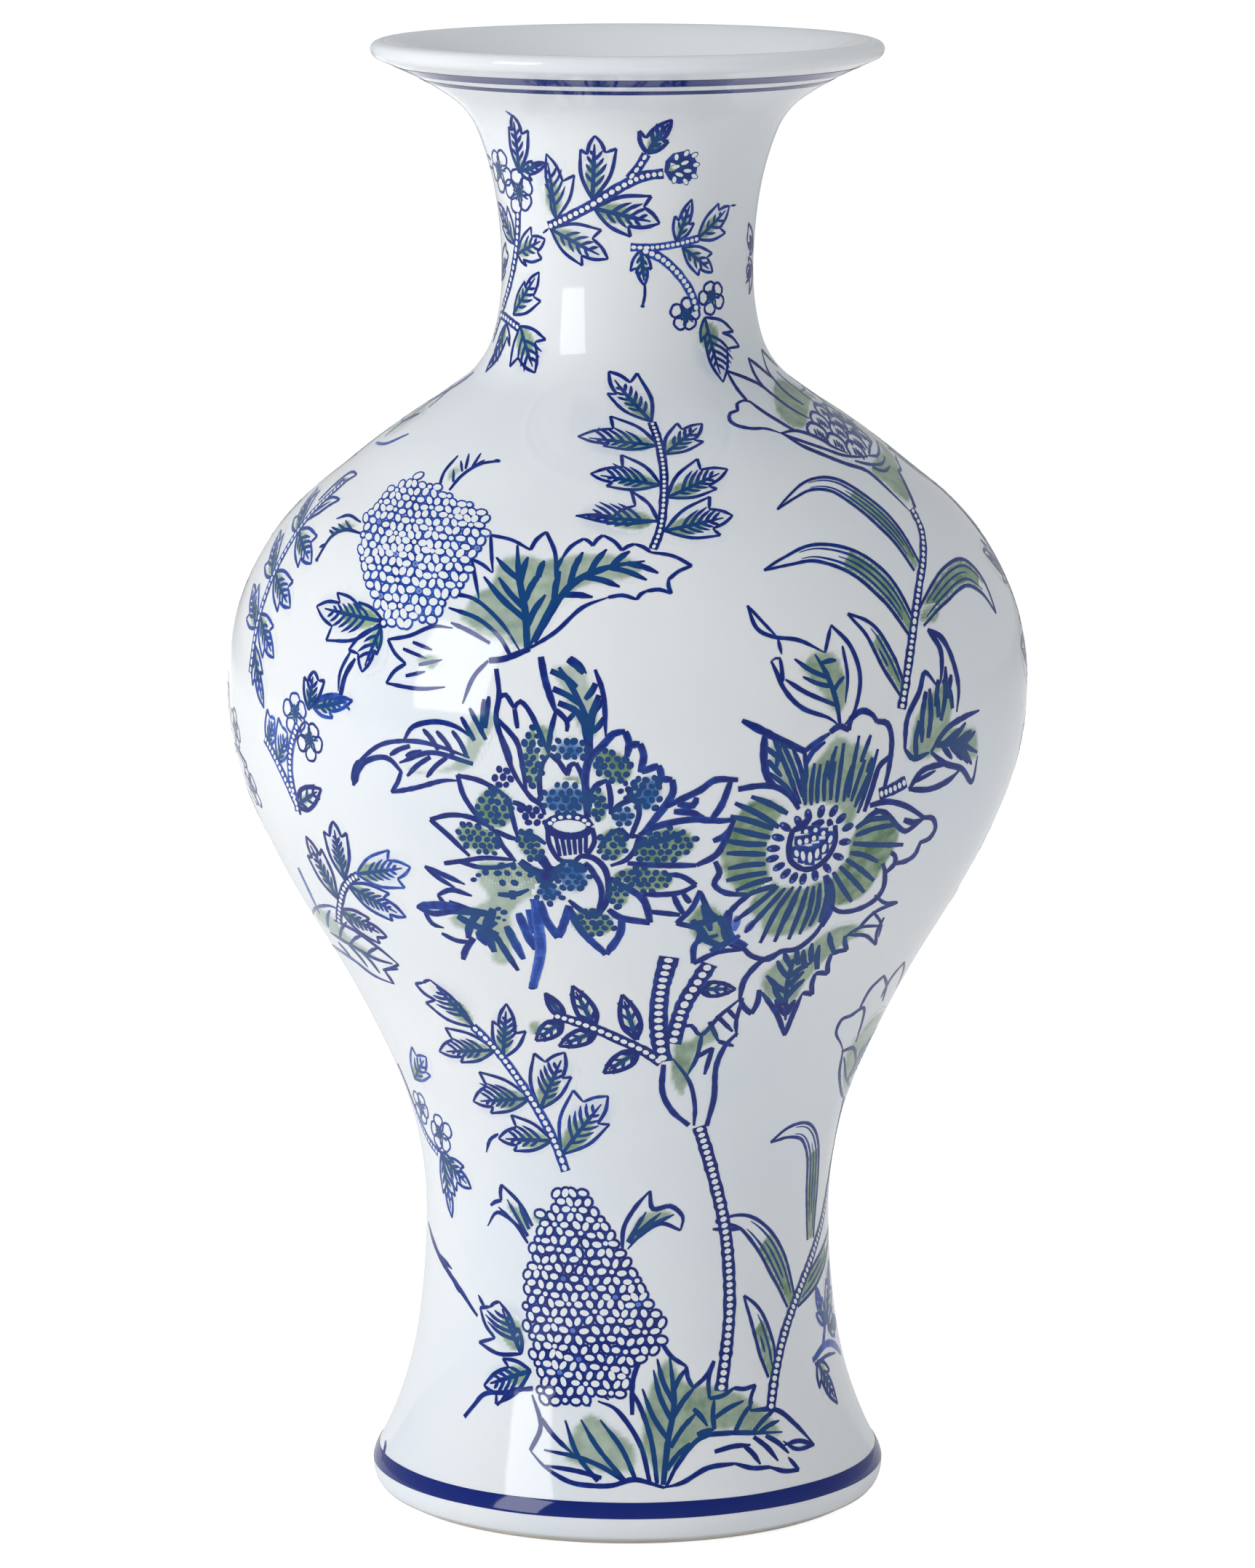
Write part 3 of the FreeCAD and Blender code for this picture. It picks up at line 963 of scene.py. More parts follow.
def paintShoulder():
    startRegion()
    # the upright fern below the neck
    ladder([(6.6, 291), (8.6, 298), (9.5, 309), (9.5, 319), (8.2, 330), (6.4, 338)], 1.9, 1.7, 0.5, 0.95)
    leaf((6.4, 338), (-5, 356.5), [(2.6, 356), (-5.4, 349.3)], 0.85, tint=0.6)
    leaf((8.2, 328.6), (-13.2, 332), [(-4.5, 340.5), (-6.4, 328.4)], 0.85)
    leaf((8.8, 313.6), (-9.7, 317.7), [(-1.6, 325), (-5.5, 313.2)], 0.85)
    leaf((8, 300.5), (-13.6, 302.4), [(1, 311.6), (-4, 302)], 0.85)
    leaf((9.6, 325), (20.2, 336.8), [(13.2, 337.4), (20.4, 329.5)], 0.85)
    leaf((10.2, 309), (27, 318.6), [(18.6, 323), (23.8, 311.6)], 0.85)
    leaf((9.6, 297), (28, 301.8), [(21.8, 309), (24.5, 295)], 0.85)
    # the upper mass of small flowers
    panicle([(-62, 311.5), (-54, 309), (-47.5, 306), (-40, 304), (-38, 299), (-38.5, 293), (-42, 286),
        (-43, 279), (-48, 274.5), (-52.5, 268.5), (-60, 266), (-67, 264), (-70.5, 270), (-76, 276.5),
        (-80, 282), (-81, 290), (-79.5, 298.5), (-76, 304), (-69, 309.5)], 2.75, 0.72)
    oval(-62.8, 312.6, 2.6, 1.5, 0.5)
    oval(-62.8, 312.6, 2.0, 0.95, 0.5, kind="white")
    line([(-54.3, 308.5), (-53.3, 315), (-49.3, 321.6)], 0.8, 0.7, 0.5)
    line([(-50.6, 309), (-47, 314.6), (-41.6, 319.2), (-36.2, 320.9)], 0.8, 0.7, 0.9)
    oval(-36, 321, 1.0, 0.7)
    strokes([((-47, 316), (-48, 320)), ((-46, 317), (-45.5, 322.8)), ((-44, 317.6), (-41.5, 323.4)),
        ((-43, 318.4), (-40, 321)), ((-49.6, 312), (-50, 316.5))], 0.7, 0.8)
    green([(-51, 312), (-47, 316), (-49, 318.5), (-52, 315)], 0.8, 0.6)
    line([(-82, 294), (-88.5, 295.4), (-94.6, 293.4)], 0.8)
    line([(-81, 290.6), (-88, 290.8), (-94.4, 287.6), (-98.6, 280.6)], 0.9, 0.7, 0.9)
    oval(-98.6, 280.4, 0.8, 0.6)
    strokes([((-85, 291), (-89.6, 293.6)), ((-88, 290.8), (-92.6, 292)), ((-90.6, 290), (-95.6, 290.6)),
        ((-93, 288.8), (-96.4, 289.6)), ((-96, 285.4), (-99, 284))], 0.75, 0.8)
    green([(-83, 292), (-88, 294), (-93, 291), (-96, 287), (-92, 289), (-86, 291)], 0.7, 0.8)
    leaf((-68.6, 266.6), (-95, 268), [(-86.8, 272.6), (-89.6, 259.5), (-78, 271)], 0.8)
    leaf((-69.4, 265.2), (-75.4, 252.7), [(-80.6, 258), (-70.6, 257.6)], 0.8, tint=0.5)
    line([(-79.6, 258), (-83.4, 252), (-84, 246.8)], 0.8)
    line([(-78, 256), (-81.6, 251), (-83.6, 243.8)], 1.2, 0.5, 0.9)
    # the leaf beside the pair, under the mass
    jagged([(-67, 262), (-61, 256.2), (-67.2, 250.6)], 0.85, -0.09)
    strokes([[(-67.2, 250.6), (-57, 250), (-49, 251)], [(-67, 262), (-60, 263.6), (-53, 266.6),
        (-47, 266.6)]], 0.85)
    strokes([((-62, 260), (-54.6, 258)), ((-59, 262), (-53, 260.4)), ((-61, 253), (-55, 254.6)),
        ((-57, 256.2), (-50, 258))], 0.8, 0.7)
    green([(-58, 257.5), (-54, 259.5), (-50, 258), (-53, 255)], 0.8, 0.8)
    # the big pair of leaves
    jagged([(-36.8, 294.4), (-25.6, 290.2), (-21.4, 296.4), (-18.8, 282)], 0.9, 0.08)
    strokes([[(-36.8, 294.4), (-36.2, 286), (-35.8, 282.8)], [(-42, 286.4), (-40.6, 279.6), (-39.6, 275)],
        [(-42, 286.4), (-38.6, 284.8), (-36, 282.6)]], 0.85)
    line([(-26.2, 261.4), (-26.8, 272), (-28.6, 282), (-29.2, 291.6)], 1.5, 0.9, 0.3)
    veins([((-27, 273), (-34.2, 281.4)), ((-28.4, 281), (-35, 287.4)), ((-28.2, 280), (-26.2, 288)),
        ((-26.8, 270), (-38.4, 281.4)), ((-26.4, 268), (-21.4, 277)), ((-27, 275), (-22.6, 283.6)),
        ((-23.4, 282), (-21.8, 287))], 0.04, 1.35, 0.9, 0.35, 0.9)
    strokes([[(-26, 262), (-22, 270), (-18.6, 278), (-18.8, 287)], [(-25.4, 262.4), (-18.6, 267),
        (-11.8, 273.6), (-5, 276.6)]], 0.9)
    jagged([(-5, 276.6), (2.4, 276), (5, 278.4), (11.4, 277.6)], 0.9, 0.12)
    jagged([(11.4, 277.6), (10.6, 281.6), (16.8, 285.6)], 0.9, 0.08)
    jagged([(16.8, 285.6), (6, 290), (1.8, 292.7), (-1.4, 290.6), (-6.4, 295.6), (-9, 292), (-11.4, 294.4),
        (-17, 288), (-18.6, 282)], 0.9, -0.09)
    line([(-24.6, 264), (-15.5, 279), (-6, 285), (4.5, 287.3)], 1.5, 0.9, 0.3)
    veins([((-19, 274), (-17.6, 284)), ((-15, 279.6), (-11.6, 290)), ((-10, 283), (-5.4, 291)),
        ((-4, 285.8), (0.6, 290.4)), ((-17, 277), (-9, 276.6)), ((-11, 282.4), (-2, 279.6)),
        ((-5, 285.4), (5, 281.6)), ((0, 286.6), (8, 283.6))], 0.05, 1.35, 0.9, 0.35, 0.9)
    line([(-53, 275.6), (-46, 275.8), (-40, 274.4), (-33, 268.4), (-27.8, 261)], 0.9)
    line([(-48.4, 272), (-40, 269.6), (-34, 265.2), (-31, 260.6)], 1.0, 0.4, 0.9)
    line([(-47.6, 268), (-42, 266), (-36.4, 263.2)], 1.0, 0.4, 0.7)
    line([(-36.6, 258.6), (-32, 259.4), (-26, 262)], 1.3, 0.9, 0.9, 1.0)
    line([(-36.8, 258.6), (-41, 254), (-44, 247)], 0.9)
    green([(-45.5, 269), (-42, 276), (-37, 279), (-34, 287), (-28, 289), (-22, 288), (-14, 289.4),
        (-8, 290), (0, 289), (4.4, 284), (-2, 281), (-10, 279.6), (-17, 275), (-22, 267), (-27, 262),
        (-34, 264), (-40, 265)], 1.2, 0.75)
    # the stem, blades and bud on the right shoulder
    ladder([(78.3, 242.8), (83.3, 262), (87.5, 274), (91.5, 282), (94, 290), (92.8, 297)], 2.5, 1.7, 0.5,
        0.9)
    blade([(88, 279.6), (81, 291), (71, 302), (61, 309.6), (52, 310.6), (45, 306.6), (41, 303)], 6.0, 3,
        0.62)
    blade([(83.6, 262.6), (75, 274.6), (64, 283.6), (52, 287.6), (43, 285.8), (36.4, 283.4)], 6.8, 3, 0.6)
    blade([(79, 247), (73, 257), (68, 264.4), (61, 269.4)], 4.6, 2, 0.7)
    blade([(86.6, 265.4), (95, 271), (104, 274.6), (113, 275), (122, 270), (128, 262)], 8, 3, 0.8)
    green([(86, 265), (92, 263.6), (96, 266), (92, 269), (88, 268)], 0.9, 0.8)
    # the scaly bud at the stem's top: long petals, a heart shaped one, scales and the sheath under them
    strokes([[(35, 344.4), (32, 349.4), (29, 355.4)], [(29, 355.4), (36, 352.6), (42, 349.4), (46, 345.4),
        (52, 339.4), (59, 334.4)], [(42.8, 348.8), (40.4, 353), (38.6, 358.2)],
        [(38.6, 358.2), (44, 355), (50, 350.6)], [(59.8, 339.6), (54, 344.6), (50.2, 350.2), (48.2, 354),
        (48.6, 359.6)], [(48.6, 359.6), (54, 356.6), (60.6, 353.2)]], 0.85, 0.7, 0.5, 0.9)
    line([(55, 352.6), (61, 347), (66, 342), (71, 337)], 0.6, 0.6, 0.4, 0.5)
    line([(36.4, 343.8), (33.6, 344.8), (31.2, 343.6), (31.2, 341.2), (28.8, 340.4), (28.4, 337.6),
        (30.6, 335.2), (35, 333.6), (40, 333), (45.4, 330.4)], 0.95)
    line([(35.6, 344.4), (40, 339.8), (45, 335.4), (50, 331.4), (55, 329.2)], 0.9)
    line([(45, 330.6), (50, 331), (55, 329.4), (61, 326), (65, 322.8), (71, 319.6)], 0.95)
    line([(45.4, 330.4), (52, 326.8), (60, 323), (68, 319.4), (76, 317.6), (83, 317)], 0.9)
    line([(46, 330), (52, 325), (60, 320.4), (68, 316.4), (76, 313.2), (80, 310.2), (85, 304.4),
        (89, 299.4), (91, 296.6)], 1.0)
    line([(95, 297), (96, 303), (97.4, 309)], 1.3, 0.9, 0.8)
    strokes([[(97, 309.4), (101, 309.8), (103, 312), (107, 313.4)], [(83, 317), (88, 316.2), (93, 317.4),
        (99, 320)], [(83, 317.4), (87, 319.6), (93, 320.8)], [(73, 316.6), (80, 314.4), (88, 313.4),
        (94, 315)], [(81, 313.2), (87, 311), (93, 311.8)]], 0.85, 0.6, 0.5, 0.7)
    for x, y, size in ((60, 329.4, 1.0), (67.4, 324.2, 1.0), (76, 320, 1.05), (64, 333, 1.0),
        (71.6, 328, 0.95), (79.6, 322.8, 1.05), (70, 335.6, 0.95), (75, 330.6, 1.05), (82.6, 326.4, 1.0),
        (79.6, 333.4, 1.0), (88, 323.6, 1.0), (86.4, 329.4, 0.9)):
        scale(x, y, size)
    green([(45.6, 346), (50, 350.4), (58, 349.8), (66, 346), (76, 341), (86, 334), (98, 324), (105, 315),
        (99, 309), (96, 303), (93, 298.4), (88.6, 301.6), (84, 307), (79, 312), (84, 315.6), (93, 317),
        (98, 319), (93, 325), (85, 333), (76, 338), (68, 340), (61, 337), (56, 331.6), (52, 331),
        (48, 333.6), (45, 339)], 1.0, 0.85)
    green([(50, 327), (60, 322), (70, 317.4), (80, 313.6), (74, 317), (64, 320.6), (56, 324.6)], 0.8, 0.55)
    # petals that show faintly at the left edge, and two thin leaves below them
    petals([((-76, 336), (-60, 351.6), (-86, 344)), ((-88, 330), (-72, 344), (-99, 338)),
        ((-96, 322), (-80, 333), (-106, 330))], 0.55, 0.8)
    line([(-100, 319), (-88, 320.6), (-76, 326)], 0.8, 0.6, 0.5, 0.5)
    green([(-76, 334), (-84, 340), (-96, 333), (-100, 324), (-90, 324)], 1.2, 0.5)
    blade([(-112, 296), (-107, 302), (-101, 307), (-95.6, 308.4)], 4.4, 2, 0.0, 0.4, 0.7)
    blade([(-114, 291), (-108, 295), (-103, 298), (-97.6, 299.4)], 3.6, 1, 0.0, 0.4, 0.7)
    layCoats("shoulder")


def paintPodFlower():
    startRegion()
    # petals filled with dots, the ones nearest the middle with blue that bled round them
    for patch in ((-35.2, 219.6, 5.0, 5.4), (-39.8, 210.4, 6.0, 3.8, -0.3), (-24.6, 234.0, 2.7, 7.4),
        (-25.6, 209.4, 3.0, 4.8, 0.5), (-3.8, 232, 5.2, 3.8, -0.5), (-7.6, 221.4, 2.4, 4.4, 0.1),
        (-3.8, 210.2, 3.6, 4.6), (9.8, 209.6, 7.6, 4.8, 0.25), (4.2, 199.6, 7.4, 3.6, -0.1),
        (-9.2, 185.4, 5.4, 4.2, -0.3), (-2.6, 194.6, 2.8, 3.8, 0.3)):
        dotted(*patch)
    for patch in ((-16, 222.8, 6.2, 4.4), (-14.8, 236.4, 4.4, 3.0), (5.0, 224.8, 4.0, 5.0, -0.3),
        (-1.0, 218.4, 3.2, 2.8), (-14.6, 200.2, 4.6, 5.2, 0.4), (-20.6, 195.0, 3.6, 3.6)):
        dotted(*patch, tint=0.7, bleed=True)
    for patch in ((-32.8, 228.2, 3.4, 3.2), (-24.8, 218.0, 4.2, 2.4, -0.3), (0.6, 225.6, 3.0, 3.0)):
        dotted(*patch, tint=0.0)
    dotted(-31.6, 200.2, 6.4, 3.0, 0.0, 3.1, 1.05)
    green([(-40, 204), (-26, 204), (-22, 196), (-30, 188), (-30, 179), (-32, 169.4), (-37, 170), (-38, 178),
        (-46, 180), (-50, 184), (-44, 188), (-38, 192), (-41, 198)], 1.3, 0.7)
    green([(-24, 243), (-19.6, 242), (-19, 236), (-22, 233)], 0.9, 0.9)
    green([(-17, 229), (-12, 229.6), (-12, 224), (-17, 224)], 0.9, 0.8)
    # where the brush ran wet in the middle
    strokes([[(-28.4, 204.4), (-24.4, 201.4), (-19.4, 200.6)], [(-23.4, 207), (-21, 203), (-18.6, 199)],
        [(-24, 198.6), (-20.6, 200.4), (-17, 203.4)], [(-22.4, 196), (-20.8, 199), (-19.6, 203.4)]], 2.1,
        0.8, 0.7, 0.95)
    strokes([[(-10.4, 218), (-10.6, 224), (-11, 229), (-9.6, 234.4), (-5.4, 238.2)],
        [(-9.8, 233), (-10, 239), (-9.2, 245), (-7.4, 250.6)]], 1.7, 0.8, 0.6)
    # the pod: a dotted rim, a striped cup and a hooked petal below it
    line(ring(-15.2, 215.4, 5.6, 2.9) + [(-9.6, 215.4)], 1.7, 0.9, 0.9, 1.0)
    for k in range(7):
        a = math.pi * (k + 0.5) / 7
        oval(-15.2 + 5.1 * math.cos(a), 215.6 + 2.5 * math.sin(a), 0.66, 0.56, kind="white", sides=8)
    strokes([[(-20.9, 214), (-20.4, 210), (-17.8, 205.4), (-14, 205)],
        [(-9.2, 215), (-8.6, 211), (-10.6, 206.8)]], 1.1, 0.8, 0.8, 1.0)
    for k in range(6):
        x = -18.6 + k * 1.62
        line([(x - 0.3, 213.8 - 0.3 * abs(k - 2.5)), (x + 0.28 * (2.5 - k) + 0.3, 206.4 + 0.25 * k)], 0.85,
            0.9, 0.8, 1.0)
    line([(-13.8, 204.6), (-12.2, 206.6), (-9, 206.2), (-6, 203), (-4.9, 197.6), (-5.4, 192.6),
        (-7.6, 188)], 1.35, 0.7, 0.9, 1.0)
    line([(-13.8, 204.6), (-13.3, 202.8), (-11.6, 202.8), (-10.7, 204.2), (-8.6, 201), (-6.9, 197),
        (-6.9, 192.6), (-8, 188.4)], 1.25, 0.8, 0.8)
    line([(-15.4, 192.6), (-12.4, 189.6), (-9.2, 187.8), (-6.4, 188)], 1.2)
    # the inner petals
    strokes([[(-22.6, 223), (-23, 228), (-22, 232.6), (-20.2, 235)],
        [(-20.2, 235), (-17.8, 233), (-15.6, 229.4)], [(-15.6, 229.4), (-15, 232), (-13.4, 232.8)],
        [(-13.4, 232.8), (-11.6, 229), (-10.8, 224), (-10.8, 219)], [(-10.4, 222.6), (-8.4, 226.6),
        (-5.2, 228.4)], [(-5.2, 228.4), (-4.4, 224), (-4.4, 219)], [(-4.6, 219), (-1.4, 222), (2.6, 223.4)],
        [(2.6, 223.4), (3, 219), (1.6, 214.6), (0.8, 212.6)], [(-7.4, 209), (-4.6, 213.2), (-1.8, 215)],
        [(-1.8, 215), (0, 212.8), (3, 212.8)], [(3, 212.8), (2, 209), (-0.4, 205.6), (-4.4, 203.8)],
        [(-26.8, 225), (-25, 222.8), (-22.6, 221.2), (-21.6, 218.4)],
        [(-30.2, 221.6), (-27.6, 220.8), (-25.4, 218.6)], [(-28.6, 213.2), (-25, 212.4), (-21.4, 210)],
        [(-35, 213.2), (-31.4, 211.6), (-28.8, 211)], [(-34.8, 212.8), (-33.2, 209), (-29.6, 204.2)]], 1.15,
        0.8, 0.6, 0.95)
    # the outer petals round the left
    strokes([[(-45.5, 228.2), (-43.8, 222.6), (-40.2, 217.6), (-35, 212.6)],
        [(-45.5, 228), (-40, 227.2), (-35.6, 225.4), (-31.2, 222.6)],
        [(-31.2, 222.6), (-30.4, 218), (-28.9, 211.6)], [(-53.8, 215), (-48, 216.8), (-42, 216.6),
        (-36.6, 214.2), (-34.4, 212.6)], [(-53.8, 215), (-48, 210.4), (-42.4, 205)],
        [(-50, 202), (-45, 203.2), (-38, 204.8), (-30.4, 204.8)], [(-46, 203.2), (-40, 201.8), (-34, 202.2),
        (-29.6, 203.8)], [(-34.6, 256.6), (-33.8, 250), (-34.6, 244), (-33, 238), (-30, 230),
        (-26.6, 224.4)], [(-34.4, 243.6), (-31, 240.4), (-28.6, 237), (-27.2, 230), (-26.6, 224.4)],
        [(-33.4, 239.6), (-31.4, 235), (-30.4, 231)]], 1.15, 0.8, 0.6, 0.95)
    line([(-56, 200.4), (-50, 198.2), (-44, 195.8)], 1.3)
    line([(-56, 200.4), (-51.6, 197), (-47, 194.4)], 1.2)
    line([(-52.4, 191.4), (-48, 193.6), (-42, 192.2)], 1.3)
    line([(-52.4, 191.4), (-50, 188.4), (-47.6, 187.4)], 1.0)
    line([(-59.4, 186.6), (-54, 187.8), (-46, 188.4)], 2.2, 0.3, 0.5, 0.7)
    line([(-59.4, 186.6), (-54, 185), (-47, 186.6), (-38, 186)], 1.6, 0.5, 0.4, 0.8)
    line([(-57, 185.4), (-54.6, 181.4), (-51, 180.4)], 1.1)
    line([(-51.8, 178.4), (-47, 176.4), (-42, 176.6)], 1.2)
    line([(-42, 178), (-44.6, 173.4), (-45.5, 169.8)], 1.7, 0.9, 0.6)
    for points, wide, tone in (([(-36, 188.6), (-38, 181), (-36, 173.6)], 2.4, 0.75),
        ([(-29, 187.6), (-27, 181.6), (-24.6, 175.4)], 2.0, 0.6), ([(-32.4, 183), (-30.2, 177.6),
        (-27.8, 171.8)], 2.0, 0.6), ([(-40.4, 187), (-43, 182), (-43.6, 177.6)], 2.0, 0.75),
        ([(-36, 180.4), (-32, 172.6), (-29.4, 167.6)], 1.6, 0.95), ([(-46.6, 185), (-41.6, 182.4),
        (-34.6, 180)], 1.7, 0.8), ([(-49, 189.6), (-42.6, 187.6), (-36, 187)], 1.4, 0.9),
        ([(-34.6, 193.4), (-30, 193.6), (-26, 195.6)], 1.3, 0.8), ([(-30.6, 195), (-30.4, 192)], 2.0, 0.8),
        ([(-38, 176), (-40.4, 179.6), (-35, 184)], 1.6, 0.7)):
        line(points, wide, 0.7, 0.5, tone)
    for x, y, size in ((-34.6, 188.6, 0.9), (-33, 187.6, 1.1), (-34.6, 185.6, 0.8), (-33, 185, 0.6),
        (-40, 199.2, 0.9), (-41.4, 197.6, 1.0)):
        oval(x, y, size, size * 0.8, 0.3, 0.9)
    # the stalk and the petals at the foot
    line([(-24.6, 192.6), (-23.4, 182), (-23.2, 174), (-25.4, 161.8)], 2.3, 0.8, 0.8, 0.45)
    line([(-26.2, 189), (-24.8, 181)], 1.6, 0.8, 0.6, 0.5)
    oval(-25.4, 162, 1.3, 0.9, 0.3, 0.95)
    strokes([[(-23.2, 192), (-21.6, 186), (-18.2, 180)], [(-18.2, 180), (-16.6, 185.4), (-15.2, 190.8)]],
        1.9, 0.7, 0.9, 0.65)
    strokes([[(-15.4, 190.4), (-12, 182.4), (-5.6, 174.6)], [(-5.6, 174.6), (-2, 181.6), (-1.5, 187.2)]],
        1.7, 0.7, 0.8, 0.7)
    strokes([[(-5, 189.8), (-1.6, 187), (5.9, 185.4)], [(5.9, 185.4), (5, 190.6), (3, 194.4),
        (-4.6, 199.8)]], 1.6, 0.7, 0.8, 0.8)
    # spikes and lobes round the top
    strokes([[(-33.8, 249), (-32, 250), (-29.7, 246.6)], [(-29.7, 246.6), (-28, 248.4), (-25, 245),
        (-20.4, 235)], [(-29.6, 246.4), (-28.8, 241.4)], [(-20.6, 235.4), (-20, 240.6), (-18.5, 246.6)],
        [(-18.5, 246.6), (-15.7, 243.6), (-15.8, 241)], [(-15.7, 243.6), (-13.4, 246.2)],
        [(-13.4, 246.2), (-11.4, 243), (-10.4, 236)]], 1.1, 0.8, 0.6, 0.95)
    line([(-22.6, 260.2), (-21.4, 254), (-19.4, 248), (-18.6, 246)], 1.5, 0.9, 0.5)
    line([(-17.8, 257.6), (-13.6, 251), (-10.4, 244), (-9.4, 238)], 1.2)
    line([(-14.8, 260.4), (-12.2, 258.4), (-10.6, 256)], 0.9)
    line([(-8.4, 257.2), (-6.2, 250.4), (-5.6, 239.6)], 1.1)
    veins([((-20, 256.6), (-13, 252.6)), ((-19.4, 252), (-11.8, 247.6)), ((-18, 248.4), (-10.6, 244.4)),
        ((-8.2, 253.6), (-11, 249.4)), ((-6.6, 249.4), (-10.2, 244.8)), ((-6, 244.6), (-9.6, 240.6)),
        ((-15.6, 259.6), (-11.4, 256))], 0.06, 1.3, 0.9, 0.6, 0.95)
    green([(-20, 258), (-12, 258), (-8.6, 250), (-7, 241), (-11, 239), (-15, 246)], 0.8, 0.6)
    strokes([[(-9.6, 234.4), (-6, 238), (-3.6, 240.6), (-0.6, 241.2)],
        [(-0.6, 241.2), (0.4, 238), (-0.2, 234.6)], [(0.4, 237.6), (3.2, 238)],
        [(3.2, 238), (4.2, 234.6), (3.2, 230.4)], [(3.6, 230.6), (8, 232.2)],
        [(8, 232.2), (8.7, 229.6), (7.6, 226.4)], [(8.4, 228.6), (11.6, 228.4)],
        [(11.6, 228.4), (11.8, 225), (9.6, 221), (4, 213.6)]], 1.55, 0.8, 0.7, 0.75)
    # the leaves between the two flowers
    strokes([[(3, 213), (8, 215.6), (16, 217.2), (24, 216.6), (28, 216.8)],
        [(2, 210), (8, 211.2), (15, 213.8)], [(0, 204.6), (6, 204), (18, 203.6)],
        [(10, 221), (14, 223), (19, 225.4), (23, 228), (29, 227.8)],
        [(27, 227.4), (24.6, 221), (21.4, 216.4)], [(18, 203.6), (23, 206.4), (25.4, 210.4), (28, 216.8)],
        [(12, 219.6), (16.6, 219.2), (19.8, 217.6)], [(13, 221.6), (17, 221.2), (18, 223.4)],
        [(22.4, 210.8), (25.4, 212.2), (27.6, 214.8)]], 1.45, 0.7, 0.7, 0.8)
    strokes([[(4, 194.8), (9, 194.6), (14, 195.2), (18, 197.4)], [(18, 197.4), (14, 200.4), (9.6, 201)],
        [(6.2, 189), (13.8, 187.8)], [(12, 194.4), (13.2, 191), (15, 187.6)],
        [(14.6, 194.6), (16.4, 191.6)], [(13.6, 185), (20, 182.6)]], 1.3, 0.8, 0.7, 0.9)
    # the leaf with a thick curled tip
    line([(-78.8, 222), (-77.6, 227), (-73, 231.8), (-67, 235), (-58, 236.2), (-50, 235.2), (-42, 233)],
        1.0, 0.9, 0.5)
    line([(-78.6, 222.6), (-77.4, 227), (-74.4, 230)], 2.2, 0.5, 0.4, 1.0)
    line([(-78.2, 224), (-75, 228.6), (-70, 230.8), (-66, 230.6), (-62.4, 227.6)], 1.2, 0.9, 0.6)
    jagged([(-62.4, 227.8), (-65.8, 221.6)], 1.1, 0.06)
    strokes([[(-65.8, 221.6), (-58, 223.6), (-50, 226.2), (-45, 226.6)],
        [(-61.6, 236), (-58.6, 240), (-52, 241.8), (-46, 241), (-40.6, 238)]], 1.1)
    line([(-63, 230), (-53, 233.6), (-41, 231.4)], 1.1, 0.4, 0.8)
    veins([((-66, 231.8), (-59.6, 234.8)), ((-60.6, 226.6), (-53.4, 232.4)),
        ((-54.6, 226.8), (-48.6, 232.6)), ((-55.6, 239.6), (-51, 234.4)), ((-51.6, 239.4), (-46.6, 233.4)),
        ((-47, 239.8), (-42.8, 233.4)), ((-61, 232), (-56, 233.6))], 0.05, 1.1, 0.5, 0.8, 0.95)
    green([(-62, 230), (-57, 227), (-50, 230), (-44, 234), (-43, 241), (-38, 246), (-34, 244), (-37, 238),
        (-42, 230), (-52, 228)], 0.9, 0.6)
    strokes([((-44.4, 243.6), (-40.6, 237.6)), ((-42, 246), (-37.4, 238)), ((-38, 248.6), (-38.6, 240)),
        ((-36.6, 249.4), (-37.6, 241))], 1.1, 0.5, 0.8, 0.95)
    layCoats("podFlower")


